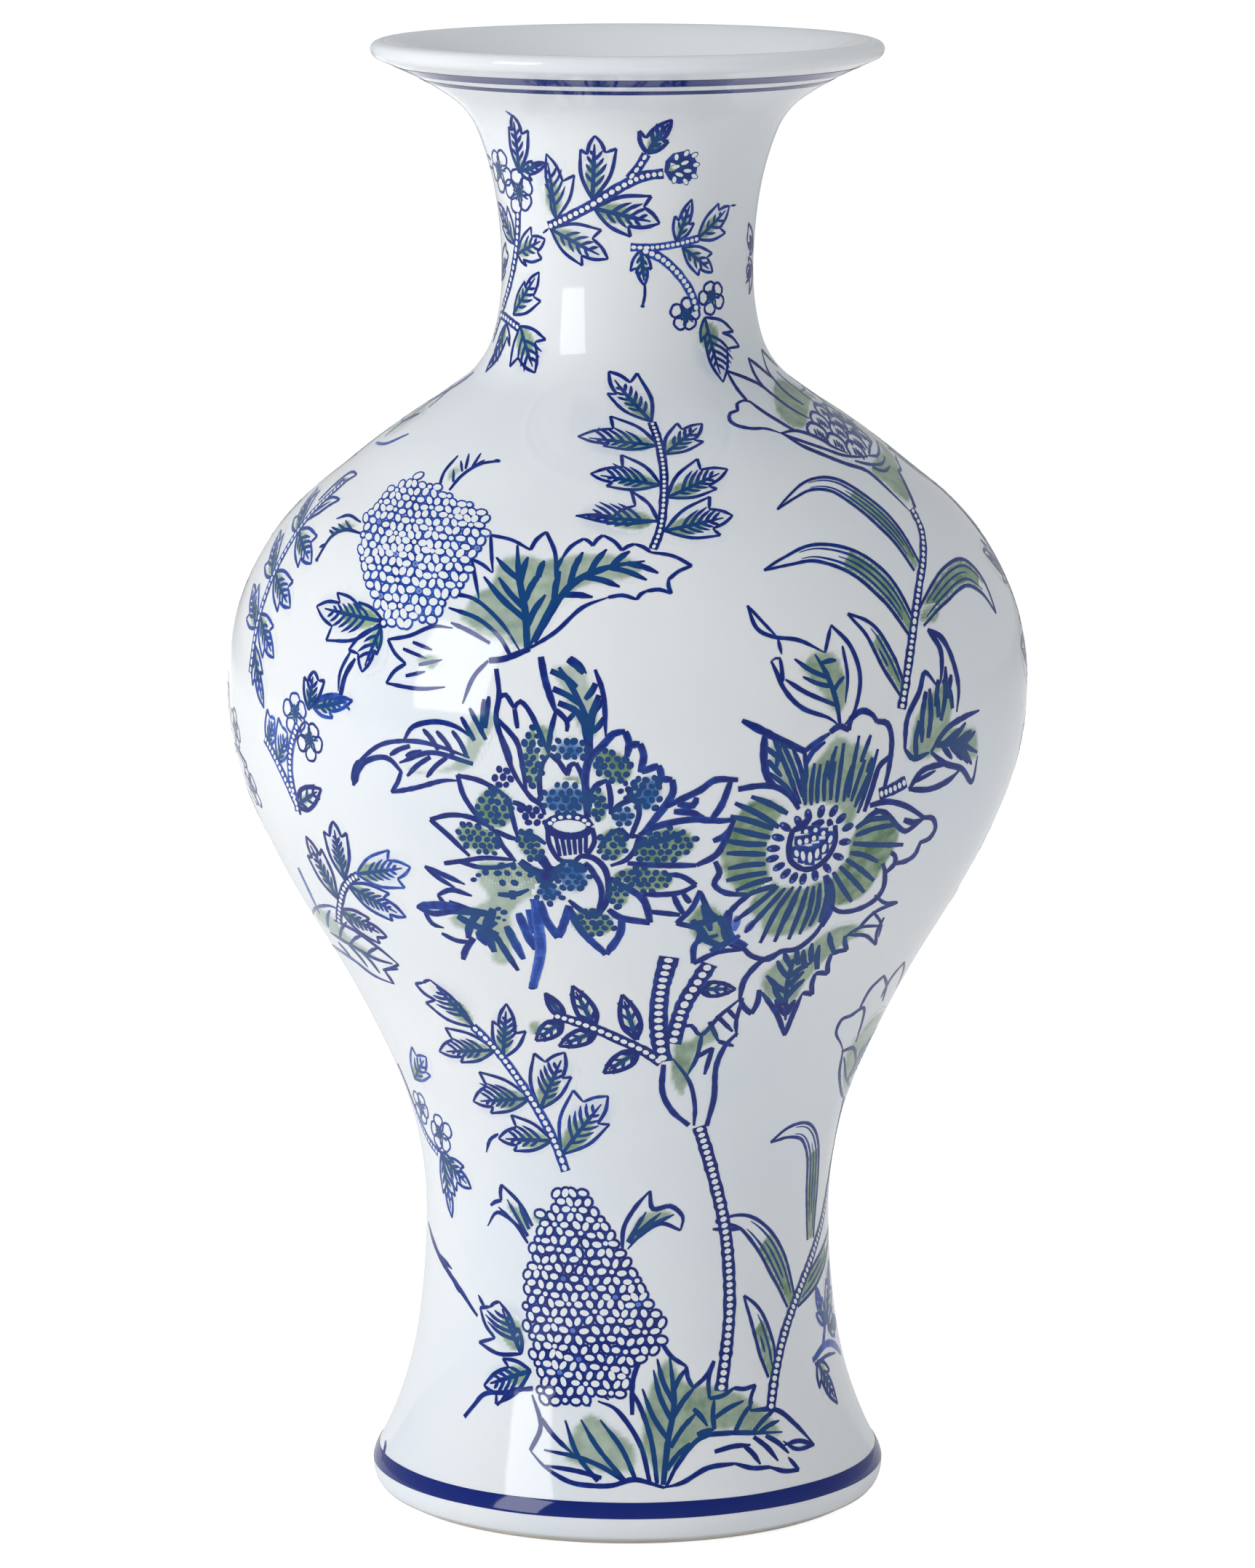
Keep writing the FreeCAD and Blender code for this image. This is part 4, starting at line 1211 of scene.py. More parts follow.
def paintOpenFlower():
    startRegion()
    # green on its four petals, left white round the seed head
    green([(43, 219.4), (36, 222.8), (30, 220.4), (25.4, 212), (24, 205), (26, 198.4), (30, 193.6),
        (36, 193), (38.4, 199), (37.4, 207), (39.6, 214)], 1.0, 1.0)
    green([(47, 218.6), (46.4, 228), (50, 231.4), (53, 234.4), (57, 238.2), (62, 236), (67, 234),
        (69.6, 229), (66, 221), (63, 213), (60, 210.6), (58, 217), (53, 219.4)], 1.2, 0.85)
    green([(62, 209), (65, 213.2), (70, 215), (76, 213.4), (79.2, 208), (78.2, 203.4), (74.4, 197.6),
        (70, 190.8), (65, 187.4), (57.6, 187), (55, 193), (57, 198), (61, 203)], 0.8, 1.0)
    green([(39, 197.6), (33, 192.4), (32.4, 187.6), (35.6, 184), (36.6, 179.6), (41, 178.4), (48, 178.6),
        (53.4, 181.8), (55.4, 188), (54, 196.4), (48, 194.6), (43, 195.6)], 1.0, 0.9)
    # the seed head and the dashes round it
    line([(44.4, 213), (43.4, 208), (44, 203.4), (47.6, 200.4), (51.4, 200.6), (55, 203.4), (57.2, 208),
        (57, 213)], 1.35, 0.9, 0.9, 1.0)
    for x, y, long, turn in ((45.6, 205.6, 1.5, 1.9), (47.5, 204.6, 2.1, 1.75), (49.6, 204, 2.4, 1.6),
        (51.7, 205, 2.1, 1.45), (53.8, 206.4, 1.8, 1.3), (55.6, 209, 1.6, 1.3), (46.4, 209, 1.2, 1.8),
        (48.4, 209.2, 1.1, 1.6), (50.6, 209.8, 1.1, 1.5), (48.2, 212, 0.9, 1.5), (51, 212.2, 0.9, 1.5),
        (53.4, 211, 1.0, 1.3)):
        line([(x - 1.5, y + 0.4), (x + 1.5, y + 0.4)], long * 2.0, 0.9, 0.9, 0.75)
        oval(x, y, long * 0.78, 0.66, turn, kind="white", sides=8)
    strokes([[(44.6, 212.6), (47.4, 214), (49.6, 216.4)], [(50, 213.4), (53.6, 214.6)],
        [(55.6, 213), (55, 215)]], 1.6, 0.8, 0.5, 0.9)
    for x, y in ((58.8, 214.8), (56.4, 217.2), (52.6, 217.4), (48.8, 216.6), (46, 215), (42.2, 213.8),
        (40.2, 210.8), (38.9, 207.6), (38.7, 204.5), (40.6, 201.8), (42.6, 199.4), (45, 197.8),
        (47.8, 197.2), (51.4, 198), (55, 200), (58.4, 203.2), (60.3, 207.6), (61, 212)):
        away = math.atan2(y - 207.5, x - 50)
        oval(x, y, 2.0, 1.15, away, 0.9)
        oval(x + 1.1 * math.cos(away), y + 1.1 * math.sin(away), 0.5, 0.4, away, 0.3, "over", 8)
    # the rays of the left, top, right and lower petals
    strokes([[(42.8, 217.6), (37.6, 220.8), (32.6, 223)], [(40.4, 213.8), (34.6, 218), (28.2, 221.4)],
        [(38.8, 213.4), (33, 216), (27, 217.8)], [(38, 211), (33, 212.4), (28, 214)],
        [(37, 209), (31, 209.6), (25, 211)], [(36.8, 206), (31, 206.6), (26, 207)],
        [(36.8, 203), (31.6, 203), (26.4, 202.2)], [(37.2, 200.2), (31.6, 199.6), (26, 198.4)],
        [(38.8, 198.2), (33.6, 197), (28.6, 195)], [(40, 195.8), (35, 194.6), (30.6, 192.8)]], 1.35, 0.7,
        0.6, 0.9)
    strokes([[(47.8, 219.6), (47.6, 226), (48.2, 231)], [(49.6, 219.4), (49.6, 225), (50.4, 231)],
        [(51.4, 219.8), (51.4, 225), (52.2, 230.6)], [(53.4, 220.2), (53.4, 226), (54.4, 231.4)],
        [(55.4, 220.4), (55.6, 226), (56.6, 231)], [(57.2, 219.6), (58, 227), (59.2, 235.6)],
        [(59.4, 219.6), (60.4, 225), (61.8, 229.4)], [(60.8, 220.6), (62.2, 229), (64, 237.2)],
        [(61.8, 219.4), (63.6, 224.6), (66, 230.6)], [(63, 217.6), (65, 222), (68.8, 229)],
        [(64.6, 230), (66.4, 234), (67.8, 237)], [(64, 215.8), (66.4, 222), (70.2, 233)],
        [(54.8, 226), (55.6, 231), (57, 235)], [(66.6, 227), (68.4, 231)]], 1.05, 0.6, 0.6, 0.82)
    strokes([[(63.6, 211.4), (68, 213.4), (75.4, 213.2)], [(63.6, 209.2), (70, 210.6), (77, 210.8)],
        [(63, 206.8), (71, 205.4), (81, 204)], [(62.2, 204), (67, 202.6), (72, 199.8)],
        [(61, 202), (66, 198.2), (71.2, 193.6)], [(59, 200), (63.4, 195.4), (68, 190.2)],
        [(57, 198.4), (60.2, 193), (63.8, 187.6)], [(66, 213), (70, 215.4), (74, 215)]], 1.3, 0.7, 0.7)
    strokes([[(40.6, 195.6), (34.6, 190), (28.4, 184.8)], [(42.6, 194.8), (36.6, 187.4), (31.4, 180.8)],
        [(45, 195), (40, 187), (35.8, 176.8)], [(47.2, 195), (43.6, 187), (40, 176.8)],
        [(49.4, 194.6), (47, 186), (44.2, 177.2)], [(51.2, 194.6), (50, 186), (47.4, 178.6)],
        [(53, 195.2), (52.6, 187), (50.4, 181)], [(54.6, 197), (55.4, 190), (53.4, 182)],
        [(46.2, 192), (43.6, 186), (41.4, 181)], [(48.4, 190), (46.6, 184)]], 1.25, 0.5, 0.6)
    # the petals' edges
    strokes([[(29, 225.2), (34, 225.8), (39, 225.4), (43.4, 222.6), (46, 218.6)],
        [(55, 238.8), (57.8, 240.2), (60.8, 238.8)], [(60.8, 238.8), (61.4, 241.8), (65, 243.6),
        (68.4, 242.2), (69.8, 240.2)], [(69.8, 240.4), (73.4, 239.4), (74.9, 235), (74.2, 228),
        (72.8, 222.4)], [(74, 230.4), (70.6, 228), (68.4, 222), (66.2, 216)],
        [(68, 217.6), (74, 218), (81, 215.8), (88.4, 211.4)], [(69.6, 216.2), (74, 214.4), (78, 210.4),
        (81.4, 208.2), (85, 209.6), (88.4, 211.4)], [(80.4, 211.8), (84, 210.6), (87.6, 210.8)],
        [(88.4, 211.4), (92.2, 210.6), (94, 207.4), (92, 204.4), (87.6, 203.6)],
        [(88, 203.6), (86.4, 200), (83, 198.4), (78.4, 198.2)], [(76.4, 202.2), (78.2, 200.8),
        (78.4, 198.2), (75.2, 195.6)], [(73.8, 199), (75, 195.6), (75, 190.6), (72, 186.8), (66, 184.6),
        (60, 184.8), (56.4, 187.6)], [(23, 204.6), (24.2, 201), (22.8, 197.4), (26, 194.4), (33, 193.4)],
        [(33, 194), (29, 190.4), (26.4, 186.4), (25.6, 181), (27.6, 177), (31, 175.6)],
        [(31, 175.6), (33.6, 172.4), (38.4, 170.8), (42, 173.2), (47, 173.6), (52, 177.6), (54.8, 182)]],
        1.35, 0.8, 0.7)
    strokes([[(27, 188.6), (26.2, 184), (27.4, 179.4), (32, 176)], [(54.6, 197.6), (56.6, 192), (56.4, 186),
        (54.2, 180.4)]], 2.3, 0.6, 0.6, 0.7)
    strokes([[(29.4, 186.6), (28.4, 181.6)], [(34, 184.6), (31.6, 181)]], 1.6, 0.7, 0.5, 0.25)
    # the hatched spike and the top leaf
    strokes([[(30, 243.4), (36, 240.2), (42, 237), (47.4, 234.4)], [(36.2, 239.6), (36, 233), (37, 228),
        (38.8, 225.6)]], 1.7, 0.5, 0.8)
    strokes([[(38.4, 238.8), (42.4, 230), (46.4, 220)], [(41, 237.2), (44.4, 230), (47, 222)],
        [(44, 235.6), (46.6, 229), (47.4, 221)], [(47.4, 234.6), (48, 229), (47.6, 224)],
        [(37.2, 229.4), (42, 225.4), (45.8, 220.4)]], 1.1, 0.6, 0.7)
    strokes([[(36.6, 236), (42, 231.6)], [(37, 232.6), (41, 228)], [(40.4, 236.6), (39.4, 230)],
        [(47.6, 234.4), (50.4, 236.2), (55, 238.6)], [(48, 231), (50, 234.2), (53.6, 236.4)]], 1.15, 0.8,
        0.5, 0.7)
    green([(38, 238), (44, 235), (46, 229), (44, 223), (39.6, 227), (37.4, 232)], 0.9, 0.7)
    line([(31.6, 273.6), (34, 267.4), (38.6, 264.8), (46, 263.4), (53.6, 259.6)], 0.9)
    line([(31.6, 273.6), (36, 268.6), (40, 264.4)], 0.7)
    line([(53.6, 259.6), (55.6, 266.8)], 0.9)
    line([(55.6, 266.8), (61.6, 260.6), (64.4, 252.4), (62.6, 244), (58.6, 239.6)], 1.0)
    line([(59, 261), (60.4, 253), (59.6, 246)], 0.8)
    line([(38, 258.4), (41, 253), (40.4, 259), (38, 258.4)], 0.9)
    line([(38.6, 257), (42, 250.4), (47, 245.6), (54.6, 242.6), (58, 240)], 1.0)
    line([(42, 253.4), (48, 249.6), (56.6, 245.8)], 1.0, 0.4, 0.8)
    line([(58, 240.6), (56.8, 247), (54, 254), (50.6, 259.4)], 1.2)
    veins([((54.6, 253), (44.6, 258.6)), ((56, 249.4), (59.4, 253)), ((52.6, 257), (57, 257.4)),
        ((56, 250.6), (47, 253.8))], 0.05, 1.0, 0.9, 0.4, 0.9)
    line([(40, 264), (41, 260)], 0.8)
    green([(46, 256), (50, 260.4), (57, 259.4), (60, 253), (60, 246), (57, 243), (52, 249)], 1.0, 0.85)
    # the cluster at its right
    ladder([(71, 220.4), (75.6, 221.4), (80.4, 223)], 2.7, 1.7, 0.5, 0.9)
    strokes([[(79.6, 232), (80.4, 240), (85, 246.6), (87.4, 251.4), (92.4, 247)],
        [(89.4, 262.4), (95, 259.6), (99, 254), (101.6, 246), (100.6, 239.4)],
        [(89.4, 262.4), (94, 257), (94.4, 252), (93.4, 247.6)]], 1.4)
    line([(79.6, 232), (83, 229), (89, 230)], 1.3)
    strokes([[(96, 252), (95.4, 244), (93.6, 238)], [(86, 233), (86, 240), (87.6, 246.4)],
        [(92, 245.4), (92.6, 239)], [(98.4, 249.6), (96.4, 243.6)], [(84, 229), (83.6, 234), (85, 239)],
        [(89, 247), (89.4, 240), (88.4, 234)], [(94.4, 248.6), (97.6, 245), (98.6, 240.6)],
        [(92.6, 249), (91.4, 242)]], 1.5, 0.5, 0.8, 0.95)
    line([(89.6, 230), (96, 235.4), (104, 237.6), (112, 238.4)], 1.4)
    line([(92, 231.6), (101, 231), (111.6, 227)], 1.5, 0.8, 0.4)
    line([(89.6, 230), (96, 226), (104, 223.4), (110, 218.8), (112, 226)], 1.4)
    strokes([((95, 231.6), (103, 235)), ((100, 231), (108, 233.6)), ((98, 230.8), (104, 226)),
        ((103, 230), (109, 224)), ((97, 231), (105, 236)), ((104, 230.4), (110, 233)),
        ((94.6, 231), (99, 227)), ((100.6, 230.4), (107, 224.6))], 1.4, 0.9, 0.4, 0.9)
    strokes([[(81.6, 220.6), (86, 225), (92, 226), (98, 225.6)], [(81.6, 220.6), (90, 219.6), (98, 221),
        (103.6, 223.6)]], 1.4)
    line([(84, 222.6), (92, 224.6)], 1.0, 0.8, 0.3)
    green([(80, 229), (83, 240), (89, 246), (97, 248), (99, 240), (98, 236), (110, 234), (112, 225),
        (106, 226), (97, 230), (88, 228)], 1.1, 0.8)
    # leaves under the flower
    strokes([[(44.6, 142.6), (42, 150), (38, 157), (36, 160)], [(44.6, 142.6), (47, 150), (49.6, 157)]],
        1.4)
    jagged([(36, 160), (34, 151.6), (30.4, 157.4)], 1.4, 0.08)
    jagged([(49.6, 157), (53, 155.8), (53.4, 163.6), (57.8, 162.6), (58.4, 170), (64, 170.4), (62.6, 176)],
        1.4, 0.08)
    line([(30.4, 157), (31.6, 164), (36, 170), (42, 173.6)], 1.4)
    line([(44.6, 148), (44.4, 160), (46, 170)], 1.2, 0.4, 0.9)
    veins([((44.4, 158), (38, 165)), ((44.4, 156), (50, 162)), ((45, 163), (41, 170)),
        ((45, 163.6), (52, 168)), ((44.4, 150), (41, 156)), ((44.8, 150), (47.4, 155)),
        ((50, 166), (49, 173)), ((54, 165), (54, 174)), ((59, 171), (57, 178)), ((44.8, 153), (40, 161)),
        ((45, 160), (49.6, 165)), ((45.6, 167), (43, 173)), ((47.6, 167.6), (47, 174)),
        ((52, 168), (51.6, 175))], 0.05, 1.5, 0.8, 0.4, 0.9)
    petals([((64, 176), (75.4, 170.2), (77, 180)), ((66, 176.6), (81.8, 184.4), (72, 188.6))], 0.85, 1.0)
    line([(62, 175), (68, 178), (77, 177)], 0.9)
    line([(72, 183), (76, 178), (76, 173)], 0.8)
    green([(38, 156), (36, 164), (42, 171), (50, 174), (56, 179), (66, 180), (70, 176), (62, 172),
        (56, 167), (51, 161), (47, 154)], 1.1, 0.8)
    # the smudged leaf at its foot
    strokes([[(12.8, 185), (17, 190), (19, 195.6)], [(12.8, 185), (19, 182.6), (18, 178)],
        [(17.4, 171), (18, 178), (24, 180.6)], [(17.4, 171), (24, 174.6), (31, 175)],
        [(19, 195), (22, 188), (27, 184)]], 1.3, 0.8, 0.6, 0.8)
    strokes([((17, 186), (22, 178)), ((20, 191), (22, 182)), ((16, 184), (24, 186)), ((19, 180), (26, 176)),
        ((24, 187), (28, 178)), ((22, 175), (30, 180))], 1.7, 0.7, 0.5, 0.62)
    green([(15, 186), (20, 192), (26, 187), (28, 179), (22, 176), (17, 180)], 1.1, 0.9)
    layCoats("openFlower")


def paintLeft():
    startRegion()
    # the sprig of toothed leaves
    ladder([(-94, 174.6), (-91, 181), (-87.5, 187.5), (-84, 191.4), (-80, 194)], 2.5, 1.7, 0.5, 0.9)
    leaf((-91, 183.6), (-101.6, 203.4), [(-103, 196.6), (-94.6, 200.4)], 0.95, tone=0.95)
    leaf((-86, 191.4), (-87.8, 210.4), [(-92.4, 206.4), (-82.6, 207.4)], 0.95)
    leaf((-80.6, 194.4), (-60.6, 199.6), [(-67.6, 204.2), (-63, 192.4)], 0.85, tone=0.5)
    leaf((-85.4, 190.2), (-63.4, 182.4), [(-68.6, 189.8), (-68.4, 180.2)], 0.9, tone=0.7)
    leaf((-91.6, 180), (-71.4, 174), [(-77.6, 179.6), (-75, 170.8)], 0.95, tone=0.95)
    line([(-96.6, 175), (-86, 173.4), (-76, 169), (-68.4, 164.2)], 1.0)
    jagged([(-68.4, 164.2), (-76, 160.6), (-69, 162.4)], 0.9, 0.03)
    line([(-118, 160.4), (-104, 161.8), (-92, 160.6), (-82, 157.4), (-72, 156.2)], 0.95, tone=0.7)
    line([(-72, 156.2), (-75.6, 161)], 0.9)
    line([(-104, 168.6), (-90, 166.8), (-78.6, 164.4), (-71, 164)], 1.1, 0.4, 0.4)
    veins([((-97, 168), (-89, 176)), ((-91, 167), (-82, 172.6)), ((-100, 165.6), (-93, 160.4)),
        ((-92, 166.6), (-84, 160)), ((-85, 165.6), (-78, 159)), ((-82, 165.4), (-76, 169))], 0.05, 1.0, 0.8,
        0.4)
    line([(-118, 172), (-108, 177), (-98, 180), (-92, 180)], 0.9, tone=0.7)
    line([(-112, 190.6), (-109, 182), (-107, 175)], 1.3, 0.8, 0.5, 0.4)
    line([(-104, 170.6), (-101, 175), (-97.6, 178.4)], 1.2, tone=0.6)
    green([(-114, 172), (-108, 178), (-98, 177), (-90, 171), (-80, 167), (-82, 163), (-92, 166),
        (-104, 169)], 1.3, 0.65)
    # the flowering sprig above it
    ladder([(-103.6, 211), (-105.6, 221), (-104.6, 229), (-101, 236)], 2.3, 1.7, 0.5, 0.6)
    ladder([(-103.6, 212.6), (-108, 219), (-114, 226), (-119, 230)], 2.3, 1.7, 0.5, 0.6)
    line([(-102.6, 210), (-103.4, 214.4)], 1.1)
    bean((-104, 212.6), (-91.6, 219.4), 7.0, 3)
    blossom(-102, 239, 5.8, 0.4, tone=0.6)
    blossom(-95.6, 232.6, 5.6, 1.0, tone=0.9)
    leaf((-112, 224), (-106, 233), [(-110.6, 236.6), (-105.4, 228)], 0.8, tone=0.5)
    leaf((-118, 228), (-112.6, 236), [(-117, 238), (-112, 231)], 0.8, tone=0.5)
    leaf((-96, 240.6), (-94, 251), [(-98.2, 249), (-89.4, 249)], 0.9)
    leaf((-94, 241.4), (-78.6, 245), [(-86, 246), (-86, 239.6)], 0.9, tint=0.7, tone=0.6)
    line([(-92, 243.4), (-84.6, 245.6), (-79.6, 242.4)], 1.2, 0.6, 0.4, 0.5)
    # the fern below the curled leaf
    ladder([(-16.8, 101.6), (-19, 108), (-22, 115), (-26, 122.6), (-30, 129.4), (-34.4, 136), (-39, 141.6),
        (-43.6, 146)], 2.2, 2.0, 0.45, 0.7)
    leaf((-43, 145.6), (-57, 160.6), [(-62.8, 158.2), (-59.6, 151.8)], 0.9, tint=0.6)
    leaf((-36.6, 138.8), (-56.6, 135), [(-53.2, 144), (-48.6, 132.6)], 0.85)
    leaf((-34.6, 136), (-33, 155.4), [(-37.4, 148.8), (-27.6, 146.2)], 0.85)
    leaf((-26.6, 123.6), (-45.2, 120), [(-42.4, 130.4), (-39.2, 117)], 0.85)
    leaf((-24, 120), (-16.8, 139.8), [(-25.4, 138.8), (-15, 131.6)], 0.85)
    leaf((-18, 106.4), (-5.2, 125.6), [(-14.6, 127.2), (-4.8, 116.4)], 0.8, tone=0.7)
    leaf((-20.4, 110.6), (-37, 109.4), [(-32.6, 117.4), (-32, 106.2)], 0.85)
    line([(-37, 110.8), (-40, 108.4), (-41.4, 104.4)], 0.9)
    # the bean leaves and their two stems
    ladder([(9, 136.6), (4, 141), (-2, 144.6), (-8, 148), (-14, 150.6), (-19.6, 152.4)], 2.5, 2.0, 0.55,
        1.0)
    for base, tip in (((-8.6, 148.6), (-14.6, 163.2)), ((2.4, 144.6), (-1.4, 160.4)),
        ((-17.4, 150.6), (-24.8, 143.2)), ((-8, 147.6), (-18.4, 141.8)), ((3, 140.8), (-6.4, 133.2)),
        ((18.6, 161.8), (29.2, 161))):
        bean(base, tip)
    bean((-17, 151.4), (-22, 160.2), 3.4, 2)
    green(ring(-24.8, 147.6, 2.2, 2.6), 0.7, 0.8)
    ladder([(9.4, 137), (8.2, 150), (8.8, 162), (11, 173.6)], 3.9, 2.6, 0.8, 0.9)
    ladder([(12, 143), (14.6, 155), (18, 163), (21.8, 170.6)], 3.7, 2.6, 0.8, 0.9)
    # the calyx they grow from
    line([(9.6, 136), (9.3, 127), (12, 120.4), (16.6, 115.6)], 1.3, 0.8, 0.8)
    line([(18, 115.4), (18.2, 122), (16.6, 130), (12, 138)], 1.0)
    line([(21.6, 115), (23.6, 124), (24, 134), (26.4, 141), (30, 145.4)], 1.3, 0.8, 0.6)
    strokes([[(13, 148), (17, 149), (19.8, 145.6), (25, 152), (31, 157.8)],
        [(31.4, 157.6), (29.6, 150), (29.8, 144)], [(20, 146), (18.6, 138), (16, 132)]], 1.0)
    strokes([((22, 150), (24.6, 143)), ((24, 152), (28.6, 146)), ((18.6, 138), (23, 141)),
        ((23, 141), (20.8, 132)), ((24.6, 143), (29, 141)), ((27, 154), (29.8, 150))], 1.1, 0.8, 0.5, 0.9)
    green([(12, 143.6), (17, 144.6), (22, 149), (25, 144), (19, 140), (17.4, 134), (15, 125), (11.4, 131)],
        0.9, 0.85)
    # the pale fern climbing the left edge of the shoulder
    ladder([(-129, 246), (-127, 262), (-122, 276), (-115, 289), (-108, 298), (-102, 305)], 2.2, 1.9, 0.5,
        0.6)
    for base, tip, teeth in (((-128, 254), (-119, 238), [(-120, 247), (-127, 243)]),
        ((-127, 262), (-114, 252), [(-116, 260), (-121, 251)]), ((-123, 274), (-108, 266),
        [(-109, 273), (-115, 264)]), ((-116, 287), (-101, 279), [(-102, 287), (-108, 277)]),
        ((-128, 258), (-141, 268), [(-134, 269), (-139, 259)]), ((-124, 272), (-136, 284),
        [(-129, 284), (-135, 274)]), ((-117, 286), (-127, 299), [(-120, 299), (-127, 289)])):
        leaf(base, tip, teeth, 0.85, tone=0.6)
    layCoats("leftSprigs")


def paintLower():
    startRegion()
    ladder([(19.4, 115), (22, 106), (24.4, 97), (27, 86), (28.4, 75), (28.8, 62), (27.6, 50), (26, 40)],
        3.0, 1.9, 0.55, 1.0)
    panicle([(-20, 95.6), (-15, 96.4), (-10, 95), (-6.8, 92), (-7.2, 88), (-4.6, 85), (-2.6, 80),
        (0.4, 76.6), (2.8, 71), (6.8, 67), (9, 62.6), (9.6, 57), (8, 52.4), (4.6, 50), (0.6, 46),
        (-0.6, 42), (-3, 40), (-9, 40.4), (-11.4, 37), (-16, 36), (-23, 36.6), (-24.6, 42), (-27, 50),
        (-28.4, 58), (-29.4, 66), (-29, 72), (-27, 79), (-24.6, 84), (-25, 89), (-21, 91)], 2.75, 1.0, 0.16)
    # leaves round the mass
    jagged([(-26.6, 85), (-36.4, 95.6), (-36.6, 91), (-40.4, 89)], 0.95, -0.08)
    line([(-28, 80), (-32, 85), (-38, 87.4), (-41.6, 83)], 0.95)
    strokes([((-28, 82), (-34.6, 91.6)), ((-30, 83.6), (-37.6, 89)), ((-27.6, 84), (-31, 91))], 0.9, 0.9)
    green([(-28, 83), (-33, 87), (-35, 90.4), (-31, 90), (-27, 86)], 0.7, 0.85)
    green(ring(-24.6, 87.6, 2.2, 2.0), 0.6, 0.8)
    line([(-1.4, 80), (-1, 86), (2, 91.6), (6, 96.4)], 0.95)
    line([(6, 96.4), (6.8, 91.2), (11.6, 91.8), (15, 88.6), (14.4, 84.8)], 1.1)
    line([(14.4, 84.8), (9, 87), (3.6, 84), (0, 80)], 0.95)
    strokes([((0, 82), (5, 90.4)), ((2, 84), (9, 90)), ((5, 86), (12.6, 89.4)), ((0.6, 81.6), (3.6, 89))],
        0.9, 0.9)
    green([(-0.6, 82), (3, 89), (9, 91), (13, 89), (8, 87), (2, 82)], 0.7, 0.85)
    leaf((-30, 49.6), (-37.4, 62.8), [(-44.4, 60), (-31, 56.6), (-44.6, 50.6)], 0.9, tint=0.75)
    line([(-42.4, 60), (-45.2, 63.4)], 0.9)
    leaf((-27, 45.4), (-42.4, 39.4), [(-36, 47.6), (-38, 35)], 0.9, tint=0.5)
    line([(-26.4, 41), (-35, 38.6), (-42, 37.2), (-46, 33.4), (-49.4, 29.8)], 1.0, 0.6, 0.9)
    line([(-26.4, 40.4), (-33, 39.4), (-37.6, 34.6)], 0.9)
    # the rosette at the foot
    line([(10, 15.2), (2, 17.6), (-4, 16), (-10, 15.8), (-16, 16.6), (-22.6, 20), (-27, 24)], 1.1)
    strokes([[(-27, 24), (-24, 31), (-26.6, 39)], [(-0.6, 17), (-7, 21), (-14, 23.4), (-23, 24.6)],
        [(-0.8, 17.4), (-8, 26), (-12.6, 33.4)], [(-8, 17), (-13.6, 24), (-17, 33)],
        [(2.4, 17), (-1.6, 26), (-7.4, 33.6)], [(6, 16.6), (3.4, 27), (-2.6, 36), (-8, 38.6)],
        [(8, 16.4), (6.4, 28), (3, 38), (-1.4, 45)], [(-7, 18), (-14, 19.6), (-22.6, 20.4)],
        [(1.2, 35), (1.6, 45), (5, 53)], [(-10.6, 37), (-10, 42), (-5, 39)],
        [(-24, 33), (-20, 28.4), (-14.6, 24)]], 1.05, 0.8, 0.35, 0.95)
    line([(9.6, 16), (11, 28), (12.6, 38), (11.4, 51)], 1.3, 0.9, 0.3)
    veins([((11, 28), (4, 42)), ((12, 33), (7, 47)), ((11.6, 26), (19, 35)), ((12.4, 34), (18.6, 42)),
        ((12.4, 41), (16, 47)), ((12.4, 38), (8, 50)), ((10.6, 20), (17, 27))], 0.05, 1.1, 0.9, 0.3, 0.95)
    jagged([(9, 54.6), (16, 47.6), (18, 41.6), (24, 48.4), (22.6, 38.4), (30, 40.4), (37, 40.4),
        (35, 33.8)], 1.0, -0.09)
    strokes([[(10.4, 15.4), (14, 22), (20, 28), (28, 28.6), (38, 27.4), (46, 26.4)],
        [(35, 33.8), (44, 32.6), (51, 27.6), (58.4, 20.8)]], 1.1)
    line([(58.4, 20.8), (52, 23), (46, 22.8)], 1.0)
    line([(58.4, 20.8), (51, 21), (46, 24)], 0.9)
    jagged([(51.4, 15.4), (41, 17.8), (30, 20.2)], 1.0, 0.06)
    line([(51.4, 15.4), (47.6, 19.4)], 1.0)
    line([(30, 20.2), (22, 19.8), (15, 16.4), (9.6, 15.2)], 1.1)
    veins([((24, 24), (35, 24.6)), ((33, 24.6), (38, 19)), ((36, 26.6), (44, 19)), ((40, 26.4), (48, 20.4)),
        ((24, 33), (33, 36.6)), ((30, 28.4), (36, 36)), ((24, 30), (24, 38)), ((36, 28), (44, 33)),
        ((38, 27.6), (45, 29.6)), ((18, 36), (22, 31)), ((19, 29), (24, 30))], 0.05, 1.1, 0.8, 0.35, 0.95)
    green([(-18, 22), (-15, 31), (-10, 35.6), (-4, 32), (2, 27), (2, 20), (-6, 19)], 1.2, 0.75)
    green([(3, 26), (5, 41), (11, 50.6), (16, 44), (24, 42), (33, 38.6), (42, 31.6), (46, 25), (36, 27),
        (24, 29), (14, 22), (9, 17)], 1.3, 0.85)
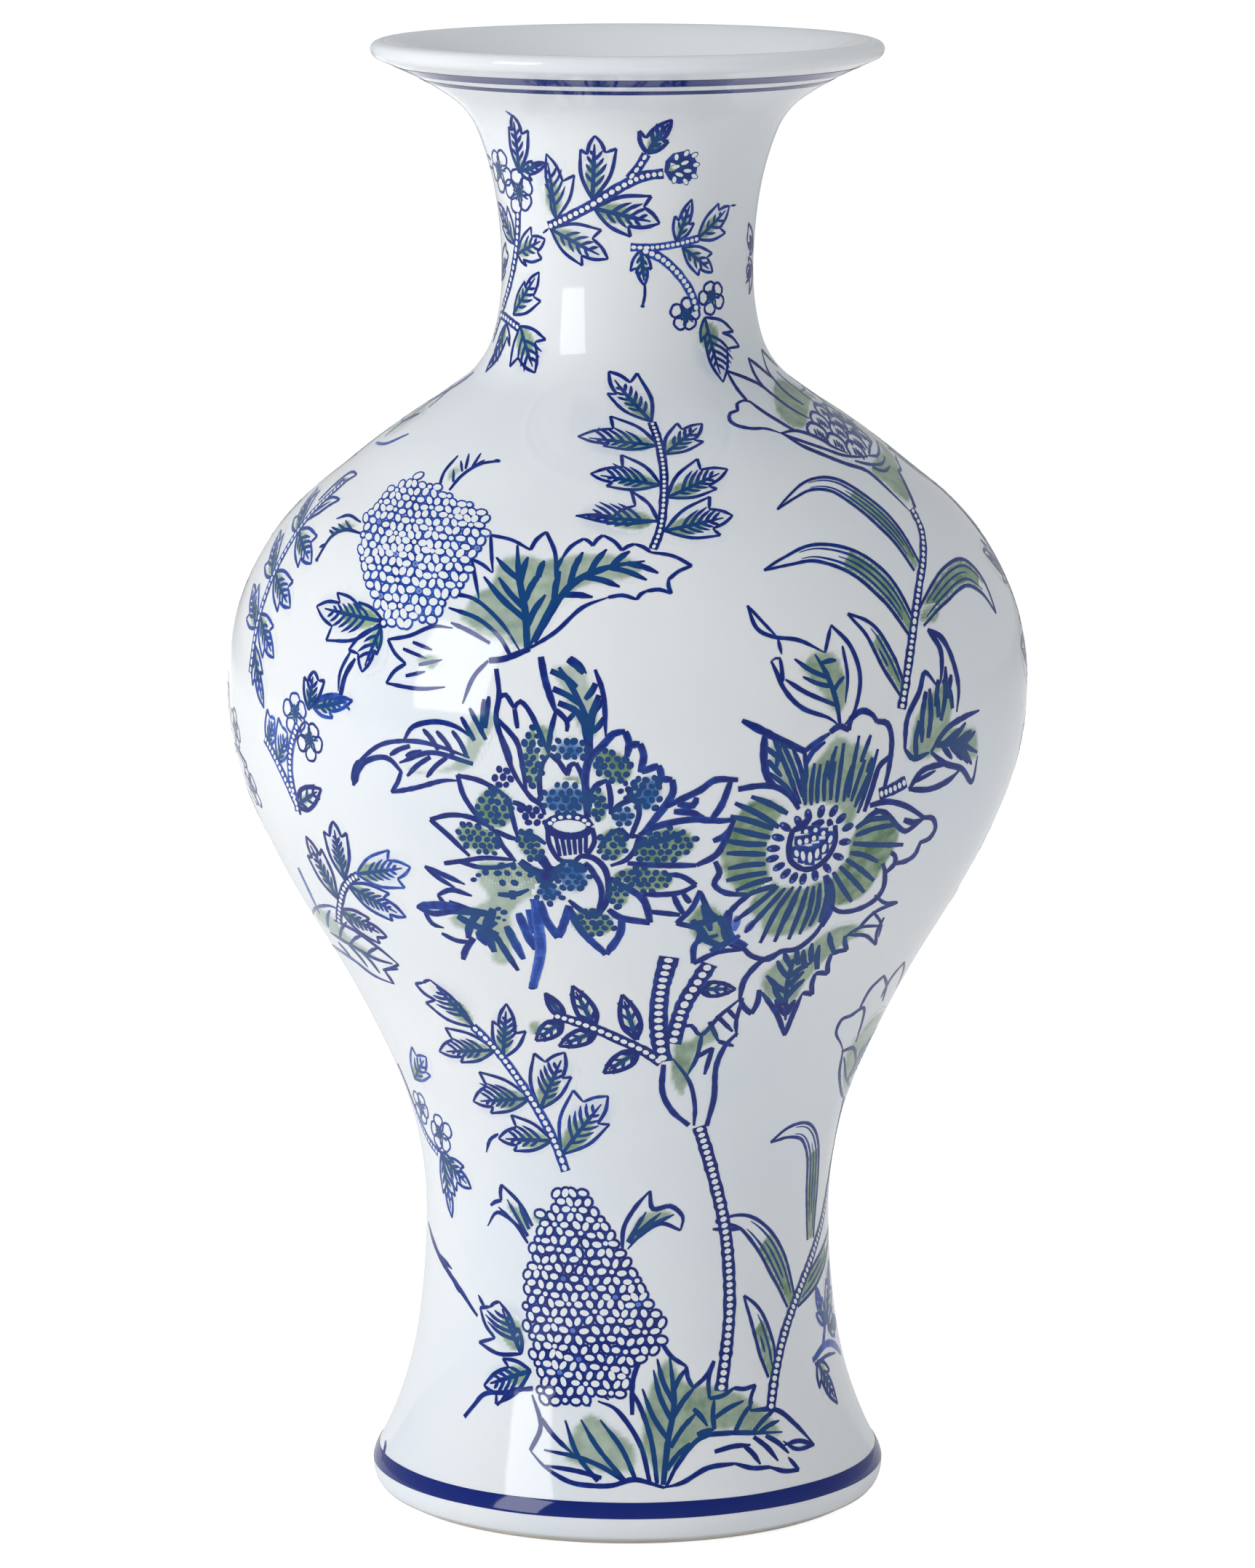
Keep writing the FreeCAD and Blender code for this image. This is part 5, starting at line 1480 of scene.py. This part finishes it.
    # the bamboo stem and its blades
    ladder([(42, 33), (44, 42), (47.6, 51.6), (52.6, 59.6), (59, 67), (66, 74), (73, 80.6), (80, 90),
        (84, 99)], 2.7, 1.7, 0.5, 0.9)
    blade([(51.4, 60), (46.6, 70), (40.6, 79), (33, 85.4), (24.4, 86.6)], 7.0, 3, 0.66)
    line([(24.6, 86), (29, 87.6)], 1.1)
    line([(23.6, 84.4), (33, 83.4)], 0.9)
    blade([(62, 75.6), (62.6, 90), (61.4, 101), (56.4, 108), (49, 109.4), (42, 107.4)], 7.0, 3, 0.6)
    blade([(43, 42), (40.6, 51), (37.4, 59), (33.4, 65)], 5.4, 2, 0.7)
    blade([(53.6, 60), (63, 64.4), (73, 69), (84, 74.6)], 5.8, 2, 0.8)
    # the small sprig near the right edge
    line([(61, 42.6), (69, 45), (77, 43.6), (86, 39)], 1.6, 0.8, 0.7, 0.45)
    line([(62, 41.4), (70, 42), (78, 41)], 0.8, 0.8, 0.5, 0.7)
    leaf((63.4, 42), (73.6, 28.4), [(71, 38), (63.6, 34.6)], 0.9, tone=0.85)
    leaf((70, 50), (64.8, 62), [(64.4, 54.4), (69.6, 58)], 0.9, tone=0.5)
    leaf((72, 50), (80, 66), [(74, 62), (82, 58)], 0.9, tone=0.5)
    leaf((73, 49), (86, 48), [(80, 53), (80, 45)], 0.9, tone=0.6)
    line([(68, 45), (71.6, 52)], 1.2, 0.9, 0.6, 0.5)
    # the petals and bud above it
    petals([((74, 147), (83.4, 156.8), (88.6, 146)), ((86, 148), (95.6, 159), (100, 148))], 0.8, 1.0)
    strokes([[(76.6, 134), (77.4, 142), (76, 146.6), (70, 145), (66, 144.4), (64.4, 140), (67.6, 135.6),
        (69.6, 132.6)], [(69, 132.4), (76, 132), (82, 126), (90, 120.6)],
        [(69.6, 132), (70.6, 124), (76, 116.4), (84, 112)]], 1.0)
    line([(71, 130), (76, 122), (84, 117), (92, 116)], 0.9)
    for k in range(3):
        for n in range(3):
            scale(82 + k * 5 + n * 1.8, 121.4 + k * 1.8 + n * 3.6, 0.62, 0.35, 0.55)
    green([(71, 131), (76, 136), (86, 142), (98, 140), (102, 126), (94, 116), (82, 113.6), (74, 120)], 1.3,
        0.7)
    ladder([(82, 113), (83, 106), (83.6, 99)], 2.4, 1.7, 0.5, 0.6)
    # the small flowering sprig near the left edge, and the thin stroke under it
    blossom(-61.4, 106.6, 6.0, 0.4, tone=0.6)
    blossom(-72, 112.4, 5.6, 1.1, tone=0.5)
    leaf((-62, 100.6), (-47.8, 92.6), [(-50.6, 98.6), (-54.6, 90.6), (-57, 100)], 0.8, tone=0.7)
    leaf((-62, 100.6), (-57.4, 82.4), [(-62.4, 88.4), (-55.4, 89)], 0.8, tone=0.6)
    leaf((-72, 122), (-62.8, 131.8), [(-69.4, 134), (-62, 125.4)], 0.8, tone=0.5)
    ladder([(-64, 100), (-72, 104), (-80, 112), (-86, 124)], 2.0, 1.7, 0.45, 0.5)
    line([(-66, 101.6), (-61, 100.4)], 1.0)
    line([(-78, 77), (-67, 71), (-54, 64), (-45.4, 57.6)], 1.3, 0.3, 0.5)
    line([(-66.6, 70.6), (-62, 69.6), (-57.4, 68.2)], 1.0, 0.9, 0.3)
    line([(-56, 64.6), (-52, 62.6)], 1.3, 0.5, 0.5)
    line([(-92, 9), (-93, 12), (-95.6, 13.6)], 1.8, 0.8, 0.3, 0.95)
    layCoats("lower")


def paintSides():
    # a branch for the room left between front and back, drawn about the middle of each side
    startRegion()
    ladder([(-8, 166), (0, 188), (2, 212), (-5, 238), (-14, 262), (-12, 284), (-6, 300)], 2.6, 1.8, 0.5,
        0.9)
    for base, tip, teeth in (((-1, 186), (-24, 196), [(-15, 203), (-17, 187)]),
        ((1, 198), (26, 207), [(16, 212), (19, 197)]), ((2, 214), (-24, 226), [(-14, 232), (-18, 215)]),
        ((-1, 226), (25, 238), [(13, 242), (19, 226)]), ((-7, 243), (-29, 250), [(-19, 257), (-22, 241)]),
        ((-11, 254), (14, 266), [(2, 269), (9, 254)]), ((-14, 268), (-29, 278), [(-22, 281), (-24, 268)]),
        ((-12, 280), (8, 292), [(-2, 294), (4, 280)]), ((-6, 299), (-2, 322), [(-10, 316), (5, 312)])):
        leaf(base, tip, teeth, 0.95, tone=0.85)
    ladder([(1, 206), (14, 218), (28, 222), (40, 219)], 2.0, 1.8, 0.45, 0.8)
    blossom(38, 213, 6.2, 0.4)
    blossom(33, 228, 6.0, 1.1)
    bean((-4, 176), (14, 184))
    bean((-6, 172), (-22, 178))
    aside = halfTurn / 2 + 0.09
    layCoats("sides", (aside, -aside))


for paintRegion in (paintNeck, paintShoulder, paintPodFlower, paintOpenFlower, paintLeft, paintLower,
                    paintSides):
    paintRegion()
print("painting laid")


studioLook = {
    "cameraDistance": 2.0,
    "cameraHeight": 0.534,
    "lookDown": math.radians(9.57),
    "lens": 170.2,
    "skyHorizon": 0.52,
    "skyTop": 0.30,
    "skySeen": 1.06,
    "skyColour": (0.95, 0.97, 1.0, 1),
    "floorSize": 8.0,
    "floorDark": (0.90, 0.90, 0.90, 1),
    "floorLight": (0.92, 0.92, 0.92, 1),
    "floorSeen": 0.75,
    "floorGlow": 0.06,
    "lampAim": 0.2,  # the height on the vase that the lamps point at
}
# each lamp: the side it stands on (0 is the camera's side, positive to its left), how high it looks
# down from, its distance, width and height in metres, its power, and whether it shows as a reflection
lamps = {
    "keySoftbox": (50, 18, 1.6, 0.62, 0.95, 11, True),
    "leftFill": (100, 20, 2.2, 1.6, 1.8, 10, False),
    "rightFill": (-70, 15, 2.4, 1.4, 1.8, 8, False),
    "backSoftbox": (170, 18, 2.0, 0.6, 1.0, 9, False),
    "topLight": (0, 88, 2.2, 2.0, 2.0, 13, False),
}


def ratherWhenSeen(tree, other, seen):
    # one number for what the camera sees directly and another for everything else
    path = node(tree, "ShaderNodeLightPath")
    choice = node(tree, "ShaderNodeMix")
    tree.links.new(path.outputs["Is Camera Ray"], choice.inputs["Factor"])
    for value, socket in ((other, choice.inputs[2]), (seen, choice.inputs[3])):
        if isinstance(value, float):
            socket.default_value = value
        else:
            tree.links.new(value, socket)
    return choice.outputs[0]


def makeFloor():
    startAlone()
    bpy.ops.mesh.primitive_plane_add(size=studioLook["floorSize"], location=(0, 0, 0))
    floor = bpy.context.active_object
    floor.name = "floor"
    made = bpy.data.materials.new("paleFloor")
    made.use_nodes = True
    tree = made.node_tree
    shader = tree.nodes["Principled BSDF"]
    shader.inputs["Roughness"].default_value = 0.8
    shader.inputs["Emission Color"].default_value = (1, 1, 1, 1)
    tree.links.new(ratherWhenSeen(tree, studioLook["floorGlow"], studioLook["floorSeen"]),
                   shader.inputs["Emission Strength"])
    shade = ranged(tree, noiseAt(tree, 3.0), 0.3, 0.7)
    colour = mixColour(tree, shade, studioLook["floorDark"], studioLook["floorLight"])
    tree.links.new(colour, shader.inputs["Base Color"])
    floor.data.materials.append(made)


def makeLamp(name, side, above, distance, width, height, power, reflected):
    light = bpy.data.lights.new(name, "AREA")
    light.shape = "RECTANGLE"
    light.size = width
    light.size_y = height
    light.energy = power
    lamp = bpy.data.objects.new(name, light)
    bpy.context.collection.objects.link(lamp)
    middle = Vector((0, 0, studioLook["lampAim"]))
    flat = distance * math.cos(math.radians(above))
    turn = math.radians(side)
    lamp.location = middle + Vector((-flat * math.sin(turn), -flat * math.cos(turn),
                                     distance * math.sin(math.radians(above))))
    lamp.rotation_euler = (middle - lamp.location).to_track_quat("-Z", "Y").to_euler()
    lamp.visible_camera = False
    lamp.visible_glossy = reflected


def makeSky():
    # paler towards the horizon, and white behind the vase
    world = bpy.data.worlds.new("studio")
    bpy.context.scene.world = world
    world.use_nodes = True
    tree = world.node_tree
    sky = tree.nodes["Background"]
    sky.inputs["Color"].default_value = studioLook["skyColour"]
    place = node(tree, "ShaderNodeTexCoord")
    parts = node(tree, "ShaderNodeSeparateXYZ")
    tree.links.new(place.outputs["Generated"], parts.inputs["Vector"])
    fade = ranged(tree, parts.outputs["Z"], 0.0, 0.7, studioLook["skyHorizon"], studioLook["skyTop"])
    tree.links.new(ratherWhenSeen(tree, fade, studioLook["skySeen"]), sky.inputs["Strength"])


def makeStudio():
    for name, values in lamps.items():
        makeLamp(name, *values)
    makeSky()
    bpy.context.scene.view_settings.view_transform = "Standard"


def makeCamera():
    camera = bpy.data.cameras.new("camera")
    camera.sensor_fit = "VERTICAL"
    camera.sensor_height = 36.0
    camera.lens = studioLook["lens"]
    placed = bpy.data.objects.new("camera", camera)
    bpy.context.collection.objects.link(placed)
    placed.location = (0, -studioLook["cameraDistance"], studioLook["cameraHeight"])
    placed.rotation_euler = (math.pi / 2 - studioLook["lookDown"], 0, 0)
    bpy.context.scene.camera = placed


makeFloor()
makeStudio()
makeCamera()
print("studio set")
